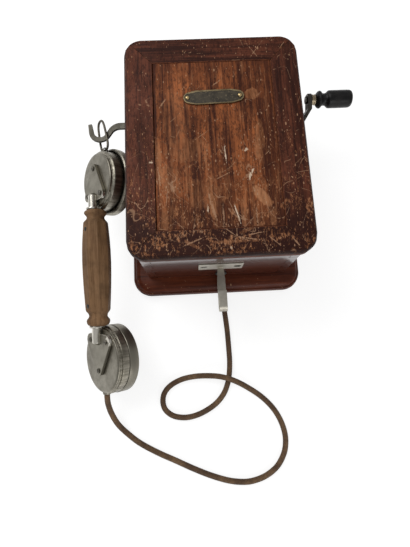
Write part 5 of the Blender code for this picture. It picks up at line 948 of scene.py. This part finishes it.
ferrule_profile = in_mm([(2.5, 0.0), (4.7, 0.0), (5.0, 0.3), (5.0, 1.2), (4.6, 1.6), (4.6, 2.3), (5.0, 2.7),
                         (5.0, 3.5), (4.7, 3.8), (2.5, 3.8)])
ferrule_place = upright((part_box("crank_ferrule")[0].x, *knob_middle.yz), *knob_axis)
ferrule = turned_piece("beaded_ferrule", ferrule_profile, ferrule_place, "crank", 48, True)
dress(ferrule, "nickel", metal("ferrule_metal", (0.38, 0.31, 0.21), (0.22, 0.17, 0.11), (0.05, 0.036, 0.022), 0.36,
                               tarnish=0.8), node="crank_ferrule")
dress(eased_copy("wall_bush", "crank_bush", "case", 0.0003), "nickel",
      metal("dull_nickel", (0.47, 0.445, 0.385), (0.27, 0.250, 0.205), (0.060, 0.048, 0.034), 0.33, tarnish=0.75))

# Second receiver's hook.
# A nickelled strip bent into a hook and riveted through a screwed plate under the case. One of its two
# countersunk screws is missing.
side_hook = eased_copy("underside_hook", "side_hook", "case", 0.0004)
dress(side_hook, "nickel", metal("hook_nickel", (0.58, 0.55, 0.48), (0.36, 0.33, 0.27), (0.07, 0.055, 0.040), 0.34,
                                 tarnish=0.7), dark_steel)
empty_hole, hole_reach = Vector((0.0168, 0.0570)), 0.0034
for face in side_hook.data.polygons:
    if (face.center.xz - empty_hole).length < hole_reach and abs(face.normal.y) < 0.95:
        face.material_index = 1

# Handset.
# Two nickelled brass cups with screwed caps, joined by cast necks to a turned wooden grip. It lies tilted
# on the table from the mouthpiece's rim, with its bail over the switch hook.
handset_along = Vector((0.0137, 0.9815, 0.1908)).normalized()
handset_across = Vector((-0.6723, 0.1503, -0.7249))
handset_across = (handset_across - handset_along * handset_across.dot(handset_along)).normalized()
handset_depth = handset_across.cross(handset_along)
handset_place = Matrix((handset_across, handset_along, handset_depth)).transposed().to_4x4()
handset_place = Matrix.Translation((-0.1124, -0.1711, 0.0370)) @ handset_place
handset_span = 0.1664


def softened(profile, size):
    """A profile with each of its corners cut twice, so that the edge catches the light."""
    soft = [profile[0]]
    for before, corner, after in zip(profile, profile[1:], profile[2:]):
        corner = Vector(corner)
        back, on = Vector(before) - corner, Vector(after) - corner
        cut = min(size, back.length * 0.45, on.length * 0.45)
        a, b = corner + back.normalized() * cut, corner + on.normalized() * cut
        soft += [tuple(a), tuple((a + b) / 2 * 0.5 + corner * 0.5), tuple(b)]
    soft.append(profile[-1])
    return soft


def cut_away(made, tool):
    """Takes a tool's shape out of a piece, and the tool away."""
    pick(made)
    cut = made.modifiers.new("cut", "BOOLEAN")
    cut.operation = "DIFFERENCE"
    cut.solver = "EXACT"
    cut.object = tool
    bpy.ops.object.modifier_apply(modifier="cut")
    bpy.data.objects.remove(tool)


cup_tones = ((0.42, 0.392, 0.325), (0.255, 0.234, 0.186), (0.055, 0.046, 0.032))
receiver_nickel = metal("receiver_nickel", *cup_tones, 0.32, 0.9, 0.8, 0.55, 0.01245)
cup_nickel = metal("cup_nickel", *cup_tones, 0.32, 0.9, 0.8, 0.55, 0.01075)
ear_back = softened(in_mm([(0.0, 0.0), (23.56, 0.0), (24.8, 0.62), (24.8, 2.46), (26.17, 2.71), (27.4, 3.94),
                           (27.4, 12.3), (26.8, 12.3), (26.8, 18.68), (0.0, 18.68)]), 0.00035)
ear_front = in_mm([(29.2, 12.6), (29.02, 12.6), (29.9, 12.8), (30.6, 13.3), (31.05, 13.9), (31.2, 14.6),
                   (31.2, 18.4), (31.05, 19.3), (30.6, 20.3), (29.9, 21.3), (28.9, 22.2), (27.7, 22.85),
                   (26.2, 23.2), (24.4, 23.2), (21.84, 22.88), (16.5, 22.0), (10.61, 21.08), (6.4, 21.0),
                   (6.0, 20.9), (6.0, 19.08), (27.2, 19.08), (29.2, 17.0)])
mic_back = softened(in_mm([(0.0, 0.0), (28.08, 0.0), (29.64, 0.64), (29.64, 1.8), (30.58, 2.01), (30.58, 3.18),
                           (29.8, 3.39), (30.11, 3.82), (31.2, 4.24), (31.2, 10.6), (27.3, 10.6), (27.3, 16.56),
                           (0.0, 16.56)]), 0.0003)
mic_front = in_mm([(29.7, 10.9), (31.22, 10.9), (31.55, 11.15), (31.7, 11.5), (31.7, 19.4), (31.55, 19.95),
                   (31.2, 20.35), (30.6, 20.5), (27.9, 20.5), (26.9, 20.2), (25.36, 19.54), (10.78, 18.96),
                   (1.6, 18.9), (1.5, 18.8), (1.5, 16.96), (27.7, 16.96), (29.7, 14.96)])
cups = {}
for node, name, profile, along, closed, nickel in (
        ("ear_case", "receiver_case", ear_back, handset_span, False, receiver_nickel),
        ("ear_cap", "receiver_cap", ear_front, handset_span, True, receiver_nickel),
        ("mic_case", "transmitter_case", mic_back, 0.0, False, cup_nickel),
        ("mic_cap", "transmitter_cap", mic_front, 0.0, True, cup_nickel)):
    cups[node] = turned_piece(name, profile, handset_place @ Matrix.Translation((0.0, along, 0.0)), "handset", 96,
                              closed)
    dress(cups[node], "cup_metal", nickel, node=node)
sound_holes, hole_radius, hole_ring, hole_level = 6, 0.0015, 0.0062, 0.018
for count in range(sound_holes):
    angle = 0.1 + count * math.tau / sound_holes
    bpy.ops.object.select_all(action="DESELECT")
    bpy.ops.mesh.primitive_cylinder_add(vertices=20, radius=hole_radius, depth=0.01)
    drill = bpy.context.object
    drill.data.transform(handset_place @ Matrix.Translation((hole_ring * math.cos(angle),
                                                             hole_ring * math.sin(angle), hole_level)))
    cut_away(cups["mic_cap"], drill)
lug_centre = Vector((-0.0019, handset_span + 0.0274 + 0.0019, 0.0096))
along_handset = ((1.0, 0.0, 0.0), (0.0, 1.0, 0.0))
for name, foot, axis, steps, closed, profile in (
        ("transmitter_cord_bush", Vector((0.0005, -0.0324, 0.0052)), along_handset, 40, False,
         [(0.0, 8.6), (3.8, 8.6), (3.8, 3.4), (3.5, 3.1), (3.5, 2.5), (3.8, 2.2), (3.8, 0.6), (3.6, 0.2), (3.2, 0.0),
          (0.0, 0.0)]),
        ("bail_eye", lug_centre, along_handset[::-1], 36, True,
         [(1.7, -0.55), (1.95, -0.8), (2.45, -0.8), (2.7, -0.5), (2.7, 0.5), (2.45, 0.8), (1.95, 0.8), (1.7, 0.55)]),
        ("bail_eye_foot", lug_centre - Vector((0.0, 0.0021, 0.0)), along_handset, 28, False,
         [(0.0, -2.6), (2.1, -2.6), (1.7, -1.4), (1.35, -0.5), (1.2, 0.0), (0.0, 0.0)])):
    fitting = turned_piece(name, in_mm(profile), handset_place @ upright(foot, *axis), "handset", steps, closed)
    dress(fitting, "cup_metal", cup_nickel)

grip_start, grip_length, grip_radius, grip_drop = 0.032, 0.1064, 0.0130, 0.0016
# Place along the grip and radius, as shares of its own, and how flat its eight sides are there
grip_turns = ((0.0, 0.60, 0.0), (0.006, 0.70, 0.0), (0.020, 0.78, 0.0), (0.040, 0.81, 0.0), (0.054, 0.78, 0.0),
              (0.064, 0.71, 0.0), (0.074, 0.65, 0.0), (0.085, 0.63, 0.0), (0.100, 0.66, 0.0), (0.112, 0.72, 0.05),
              (0.120, 0.79, 0.25), (0.128, 0.83, 0.5), (0.136, 0.85, 0.85), (0.145, 0.86, 1.0), (0.23, 0.905, 1.0),
              (0.330, 0.95, 1.0), (0.44, 0.985, 1.0), (0.545, 1.0, 1.0), (0.65, 0.985, 1.0), (0.740, 0.95, 1.0),
              (0.82, 0.90, 1.0), (0.880, 0.86, 1.0), (0.890, 0.845, 0.8), (0.898, 0.80, 0.4), (0.906, 0.73, 0.1),
              (0.914, 0.665, 0.0), (0.924, 0.62, 0.0), (0.936, 0.61, 0.0), (0.947, 0.65, 0.0), (0.956, 0.72, 0.0),
              (0.966, 0.775, 0.0), (0.976, 0.785, 0.0), (0.986, 0.74, 0.0), (0.994, 0.66, 0.0), (1.0, 0.56, 0.0))
grip_heights = [grip_length * along for along, share, flat in grip_turns]
grip_profile = [(0.0, 0.0)] + [(grip_radius * share, grip_length * along) for along, share, flat in grip_turns]
grip = turned_piece("turned_grip", grip_profile + [(0.0, grip_length)], Matrix.Identity(4), None, 96, smooth=24.0)
eighth = math.pi / 4
for vertex in grip.data.vertices:
    flat = float(np.interp(vertex.co.z, grip_heights, [flat for along, share, flat in grip_turns]))
    within = (math.atan2(vertex.co.y, vertex.co.x) + eighth / 2) % eighth - eighth / 2
    vertex.co.xy = vertex.co.xy * (1.0 + flat * (math.cos(eighth / 2) / math.cos(within) - 1.0))
keep_own_place(grip)
grip.data.transform(handset_place @ upright((0.0, grip_start, -grip_drop), *along_handset))
pick(grip)
bpy.ops.object.shade_smooth_by_angle(angle=math.radians(17.0))
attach(grip, "handset")
grip_wood, shader, place = new_material("grip_wood")
own = own_place(shader)
grain = use_group(grain_group, Vector=own.moved(along_z, (0.2, 0.4, 0.7)), Dark=(0.110, 0.056, 0.025),
                  Light=(0.275, 0.158, 0.080), Contrast=0.8)
dirt = own.noise(60.0, 5.0, 0.65).ramp(0.42, 0.72)
edges = use_group(edge_group, Vector=place, Amount=0.5, Width=0.0012)["Mask"]
grip_colour = (dirt * 0.5).between(grain["Colour"], (0.060, 0.034, 0.018))
surface(shader, (edges * 0.5).between(grip_colour, (0.26, 0.175, 0.110)), dirt.ramp(0.0, 1.0, 0.55, 0.70),
        grain["Height"], 0.4, 0.0003, {"Specular IOR Level": 0.12})
dress(grip, "grip_wood", grip_wood, node="handset_grip")

tube_nickel = metal("neck_nickel", (0.70, 0.67, 0.60), (0.50, 0.47, 0.40), (0.08, 0.065, 0.045), 0.28, tarnish=0.4)
tongue_nickel = metal("tongue_nickel", (0.245, 0.228, 0.185), (0.160, 0.146, 0.115), (0.04, 0.034, 0.025), 0.36,
                      tarnish=0.7)
tube_start, tube_end = 0.0158, handset_span - 0.0145
for node, name in (("neck_upper", "receiver_neck"), ("neck_lower", "transmitter_neck")):
    neck = eased_copy(name, node, "handset", 0.00035)
    dress(neck, "nickel", tongue_nickel, tube_nickel)
    for face in neck.data.polygons:
        if tube_start < (handset_place.inverted() @ face.center).y < tube_end:
            face.material_index = 1

# Handset screws.
# Slotted steel screws hold each neck's tongue to its cup at three points, and two smaller ones sit in the
# grip's left side.
def slotted_screw(name, head, rise, slot, material):
    """A raised countersunk screw head with its slot, standing on its own Z axis."""
    made = turned_piece(name, [(0.0, rise), (head * 0.45, rise * 0.96), (head * 0.80, rise * 0.78),
                               (head, rise * 0.38), (head, -0.0004), (0.0, -0.0004)], Matrix.Identity(4), None, 28)
    bpy.ops.object.select_all(action="DESELECT")
    bpy.ops.mesh.primitive_cube_add(size=1.0, location=(0.0, 0.0, rise))
    bar = bpy.context.object
    bar.scale = (head * 2.4, slot, rise * 1.3)
    bpy.ops.object.transform_apply(scale=True)
    cut_away(made, bar)
    finish_edges(made, 0.0, 35.0)
    made.data.materials.append(material)
    return made


def set_copies(source, body, places):
    """Copies of a piece with their own meshes, each in its place, and the piece they are made from taken away."""
    for count, place in enumerate(places):
        made = source.copy()
        made.data = source.data.copy()
        made.name = made.data.name = source.name + "_" + str(count + 1)
        scene.collection.objects.link(made)
        made.data.transform(place)
        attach(made, body)
    bpy.data.objects.remove(source)


def turned_by(degrees):
    """A turn about Z."""
    return Matrix.Rotation(math.radians(degrees), 4, "Z")


screw_steel = metal("screw_steel", (0.21, 0.195, 0.165), (0.10, 0.090, 0.072), (0.02, 0.016, 0.011), 0.36, 2.0, 0.7)
tongue_top = -0.0037
screw_spots = ((0.0115, handset_span - 0.014, 20.0), (-0.0115, handset_span - 0.014, 75.0),
               (0.0, handset_span + 0.0102, -35.0), (0.014, 0.018, 50.0), (-0.014, 0.018, -15.0), (0.0, -0.0094, 80.0))
set_copies(slotted_screw("tongue_screw", 0.00225, 0.00075, 0.0007, screw_steel), "handset", [
    handset_place @ upright((across, along, tongue_top + 0.00005), up=(0.0, 0.0, -1.0)) @ turned_by(degrees)
    for across, along, degrees in screw_spots])
grip_side, flat_off = math.radians(-93.0), math.radians(3.0)
out = Vector((math.cos(grip_side), 0.0, math.sin(grip_side)))
grip_screw_places = []
for along, degrees in ((0.0504, -30.0), (0.1200, 25.0)):
    share = float(np.interp(along - grip_start, grip_heights, [share for run, share, flat in grip_turns]))
    reach = grip_radius * share * math.cos(eighth / 2) / math.cos(flat_off) - 0.00005
    foot = Vector((0.0, along, -grip_drop)) + out * reach
    grip_screw_places.append(handset_place @ upright(foot, (0.0, 1.0, 0.0), out) @ turned_by(degrees))
set_copies(slotted_screw("grip_screw", 0.0021, 0.0005, 0.0007, dark_steel), "handset", grip_screw_places)

# Side hook's screw.
# The one screw left in the hook's plate, its countersunk head a little below the face.
plate_screw = slotted_screw("plate_screw", 0.0031, 0.0005, 0.0008, screw_steel)
plate_screw_foot = (-0.0140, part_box("side_hook")[1].y - 0.0016, 0.0570)
plate_screw.data.transform(upright(plate_screw_foot, (0.0, 0.0, 1.0), (0.0, -1.0, 0.0))
                           @ Matrix.Rotation(0.9, 4, "Z"))
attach(plate_screw, "case")

# Bail.
# A closed loop of steel wire, free in the eye on the receiver's case, that hangs the handset on the hook.
bail = eased_copy("wire_bail", "handset_bail", "bail", 0.0)
pick(bail)
rounder = bail.modifiers.new("rounder", "SUBSURF")
rounder.levels = rounder.render_levels = 2
bpy.ops.object.modifier_apply(modifier="rounder")
wire_lost = 0.00013
bpy.ops.object.mode_set(mode="EDIT")
bpy.ops.mesh.select_all(action="SELECT")
bpy.ops.transform.shrink_fatten(value=wire_lost)
bpy.ops.object.mode_set(mode="OBJECT")
bpy.ops.object.shade_smooth()
dress(bail, "steel", metal("bail_wire", (0.150, 0.138, 0.112), (0.080, 0.071, 0.056), (0.016, 0.013, 0.009), 0.34,
                           2.0, 0.6))

# Magneto.
# The hand generator: two painted horseshoe magnets over iron pole pieces, with a wound armature that the
# crank's brass gear drives through a small steel pinion.
red_enamel, shader, place = new_material("red_enamel")
clouds = place.noise(90.0, 5.0, 0.65).ramp(0.35, 0.68)
chips = place.noise(260.0, 7.0, 0.75).ramp(0.63, 0.66)
chipped = chips.most(use_group(edge_group, Vector=place, Amount=1.0, Width=0.0010)["Mask"])
enamel = clouds.between((0.175, 0.021, 0.012), (0.110, 0.014, 0.009))
surface(shader, chipped.between(enamel, (0.060, 0.052, 0.045)), clouds.ramp(0.0, 1.0, 0.34, 0.48) + chipped * 0.15,
        1.0 - chipped, 0.3, 0.00015)
for count in ("1", "2"):
    dress(eased_copy("horseshoe_magnet_" + count, "magneto_magnet_" + count, "case", 0.0006), "magnet_red",
          red_enamel)
plate_nodes(metal("soft_iron", (0.20, 0.185, 0.165), (0.105, 0.092, 0.078), (0.05, 0.022, 0.010), 0.42, tarnish=0.9),
            ("magneto_pole_piece_lower", "magneto_pole_piece_upper", "magneto_armature", "ringer_armature",
             "induction_coil_core"))
plate_nodes(dark_steel, ("magneto_pinion", "ringer_frame"))

# Ringer.
# Two brass gongs over a clapper ball, which an armature swings between two wound coils on iron cores.
gong_metal = metal("gong_brass", (0.62, 0.47, 0.23), (0.36, 0.26, 0.12), (0.07, 0.045, 0.02), 0.26, tarnish=0.5,
                   brushed=0.4)
gong_reach, gong_rise, gong_wall = 0.0175, 0.0130, 0.0016


def gong_bend(reach, rise, ends):
    """One face of a gong's bowl, between two angles."""
    return [(reach * math.cos(angle), rise * math.sin(angle)) for angle in np.linspace(*ends, 15)]


for side in ("left", "right"):
    low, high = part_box("gong_" + side)
    top = high.z - low.z
    profile = [(0.0, top), (0.0022, top), (0.0030, top - 0.0005), (0.0034, top - 0.0012), (0.0034, gong_rise)]
    profile += gong_bend(gong_reach, gong_rise, (1.32, 0.0))
    profile += gong_bend(gong_reach - gong_wall, gong_rise - gong_wall, (0.0, 1.32)) + [(0.0, 0.0114)]
    gong = turned_piece(side + "_gong", profile, upright((*middle_of("gong_" + side).xy, low.z)), "case", 64)
    dress(gong, "brass", gong_metal, node="gong_" + side)
green_cotton, shader, place = new_material("green_cotton")
turns = own_place(shader).parts()[2]
wire_rows = turns.maths("SINE", turns * (math.tau / 0.0007))
dusty = place.noise(150.0, 4.0, 0.6).ramp(0.35, 0.70)
cotton = dusty.between((0.020, 0.062, 0.030), (0.070, 0.105, 0.062))
# The dark lines between the wire rows are painted shade in the grooves of the winding.
surface(shader, wire_rows.ramp(-1.0, 0.2, 0.55, 0.0).between(cotton, (0.008, 0.020, 0.011)),
        dusty.ramp(0.0, 1.0, 0.75, 0.92), wire_rows, 0.5, 0.00025)
coil_cheek, shader, place = new_material("coil_cheek")
fibre = place.noise(700.0, 4.0, 0.6, (1.0, 0.2, 1.0))
surface(shader, fibre.between((0.060, 0.012, 0.008), (0.115, 0.030, 0.018)), fibre.ramp(0.3, 0.7, 0.5, 0.7), fibre,
        0.3, 0.0001)
coil_bore, cheek_thick, coil_rows = 0.0033, 0.0016, 16
for side in ("left", "right"):
    low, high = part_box("ringer_coil_" + side)
    length, cheek = high.y - low.y, (high.z - low.z) / 2
    outer, inner = cheek * 0.86, cheek * 0.86 * 0.985
    step = (length - 2 * cheek_thick) / coil_rows
    profile = [(coil_bore, 0.0), (cheek, 0.0), (cheek, cheek_thick), (inner, cheek_thick)]
    for row in range(coil_rows):
        profile += [(outer, cheek_thick + step * (row + 0.5)), (inner, cheek_thick + step * (row + 1))]
    profile += [(cheek, length - cheek_thick), (cheek, length), (coil_bore, length)]
    foot = middle_of("ringer_coil_" + side) - Vector((0.0, length / 2, 0.0))
    coil = turned_piece(side + "_ringer_coil", profile, upright(foot, (0.0, 0.0, 1.0), (0.0, 1.0, 0.0)), "case", 48,
                        True, 30.0)
    dress(coil, "green_cotton", green_cotton, coil_cheek, node="ringer_coil_" + side)
    for face in coil.data.polygons:
        from_end = length / 2 - abs(face.center.y - foot.y - length / 2)
        face.material_index = 1 if from_end < cheek_thick * 1.01 else 0

# Line parts.
# On the board: the induction coil between square wooden cheeks, the condenser in its soldered tin can, and
# an ebonite strip of brass terminals, joined by a few cotton-covered wires.
coil_frame = eased_copy("coupling_coil", "induction_coil", "case", 0.0004)
dress(coil_frame, "green_cotton", varnished("coil_cheek_varnish", (0.050, 0.022, 0.010), (0.150, 0.070, 0.032),
                                            along_z, (0.4, 0.2, 0.9), 0.3, 0.6, 0.4))
winding_start, winding_length, winding_rows, winding_bore = 0.0026, 0.0268, 34, 0.0070
step = winding_length / winding_rows
profile = [(winding_bore, winding_start)]
for row in range(winding_rows):
    start = winding_start + step * row
    profile += [(0.00758, start + step * 0.08), (0.00775, start + step * 0.5), (0.00758, start + step * 0.92)]
profile.append((winding_bore, winding_start + winding_length))
coil_foot = (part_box("induction_coil")[0].x, *middle_of("induction_coil").yz)
winding = turned_piece("coupling_winding", profile, upright(coil_foot, (0.0, 0.0, 1.0), (1.0, 0.0, 0.0)), "case", 48,
                       True, 50.0)
dress(winding, "green_cotton", green_cotton)
can = eased_copy("condenser_can", "condenser", "case", 0.0007)
dress(can, "nickel", metal("tinned_can", (0.42, 0.41, 0.385), (0.24, 0.23, 0.20), (0.06, 0.045, 0.030), 0.42, 1.2,
                           0.8))
ebonite, shader, place = new_material("ebonite")
bloom = place.noise(110.0, 5.0, 0.65).ramp(0.40, 0.72)
surface(shader, bloom.between((0.0085, 0.0075, 0.0068), (0.032, 0.026, 0.018)), bloom.ramp(0.0, 1.0, 0.30, 0.55),
        bloom, 0.15, 0.0001)
for name, node, width in (("terminal_board", "terminal_strip", 0.0004), ("spring_block", "contact_block", 0.0004),
                          ("case_cord_bush", "cord_bush_case", 0.00025)):
    dress(eased_copy(name, node, "case", width), "ebonite", ebonite)
low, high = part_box("terminal_strip")
terminal_x = (low.x + high.x) / 2
terminals = [low.y + (high.y - low.y) * (count + 0.5) / 4 for count in range(4)]
terminal_brass = metal("terminal_brass", (0.56, 0.42, 0.20), (0.33, 0.23, 0.10), (0.06, 0.04, 0.02), 0.30,
                       tarnish=0.6)
set_copies(slotted_screw("terminal_screw", 0.0037, 0.0010, 0.0008, terminal_brass), "case", [
    Matrix.Translation((terminal_x, up, high.z)) @ Matrix.Rotation(0.7 * count + 0.3, 4, "Z")
    for count, up in enumerate(terminals)])


def wire(name, tone, points):
    """A cotton-covered wire through a row of points, given in millimetres."""
    bpy.ops.object.select_all(action="DESELECT")
    bpy.ops.curve.primitive_bezier_curve_add(radius=0.01)
    made = bpy.context.object
    made.name = made.data.name = name
    line = made.data.splines[0]
    line.bezier_points.add(len(points) - 2)
    for knot, point in zip(line.bezier_points, points):
        knot.co = Vector(point) * 0.001
        knot.handle_left_type = knot.handle_right_type = "AUTO"
    made.data.bevel_depth = 0.0008
    made.data.bevel_resolution = 3
    made.data.resolution_u = 8
    made.data.use_fill_caps = True
    pick(made)
    bpy.ops.object.convert(target="MESH")
    made = bpy.context.object
    bpy.ops.object.shade_smooth()
    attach(made, "case")
    dress(made, "cord_cotton", tone)


def wire_cotton(name, dark, light):
    """The woven cotton cover of a wire."""
    made, shader, place = new_material(name)
    weave = place.noise(2600.0, 3.0, 0.6)
    cover = place.noise(60.0, 4.0, 0.6).ramp(0.36, 0.68).between(light, dark)
    surface(shader, weave.ramp(0.4, 0.6, 0.0, 0.4).between(cover, dark), weave.ramp(0.3, 0.7, 0.75, 0.95), weave,
            0.4, 0.0002)
    return made


green_wire = wire_cotton("green_wire_cotton", (0.012, 0.036, 0.020), (0.040, 0.095, 0.050))
tan_wire = wire_cotton("tan_wire_cotton", (0.120, 0.072, 0.036), (0.31, 0.21, 0.115))
red_wire = wire_cotton("red_wire_cotton", (0.060, 0.012, 0.008), (0.20, 0.036, 0.024))
top = high.z * 1000 - 1.2
across = terminal_x * 1000
ups = [up * 1000 for up in terminals]
wire("wire_to_condenser", green_wire, (
    (across, ups[3], top), (-48.0, -20.0, 26.5), (-47.5, -6.0, 18.0), (-46.5, 5.0, 26.0), (-46.5, 17.0, 41.0),
    (-46.5, 27.0, 41.2)))
wire("wire_to_coil", red_wire, (
    (across, ups[2], top), (-55.5, -32.0, 28.0), (-57.0, -14.0, 20.0), (-56.2, 6.0, 17.0), (-56.0, 40.0, 17.0),
    (-56.4, 51.0, 20.0), (-53.4, 55.8, 24.5)))
wire("wire_to_springs", tan_wire, (
    (-33.5, 30.0, 41.2), (-29.0, 40.0, 40.0), (-23.0, 50.0, 36.0), (-17.3, 54.6, 44.0), (-14.5, 54.8, 62.0),
    (-13.6, 54.6, 74.9)))
wire("wire_to_ringer", tan_wire, (
    (across, ups[1], top), (-40.5, -50.0, 20.0), (-33.0, -44.0, 17.6), (-24.0, -36.0, 17.4), (-19.5, -22.0, 18.0),
    (-15.0, -18.4, 22.9)))
wire("wire_to_cord", green_wire, (
    (across, ups[0], top), (-40.0, -76.5, 20.0), (-22.0, -80.5, 17.4), (-6.0, -80.0, 19.0), (2.4, -81.5, 24.0),
    (3.2, -85.5, 27.0)))
wire("wire_to_magneto", red_wire, (
    (across, ups[2] - 1.5, top), (-38.0, -28.0, 19.0), (-28.0, -6.0, 17.2), (-18.0, 16.0, 17.2),
    (-14.0, 30.0, 20.0), (-11.6, 38.0, 26.0)))
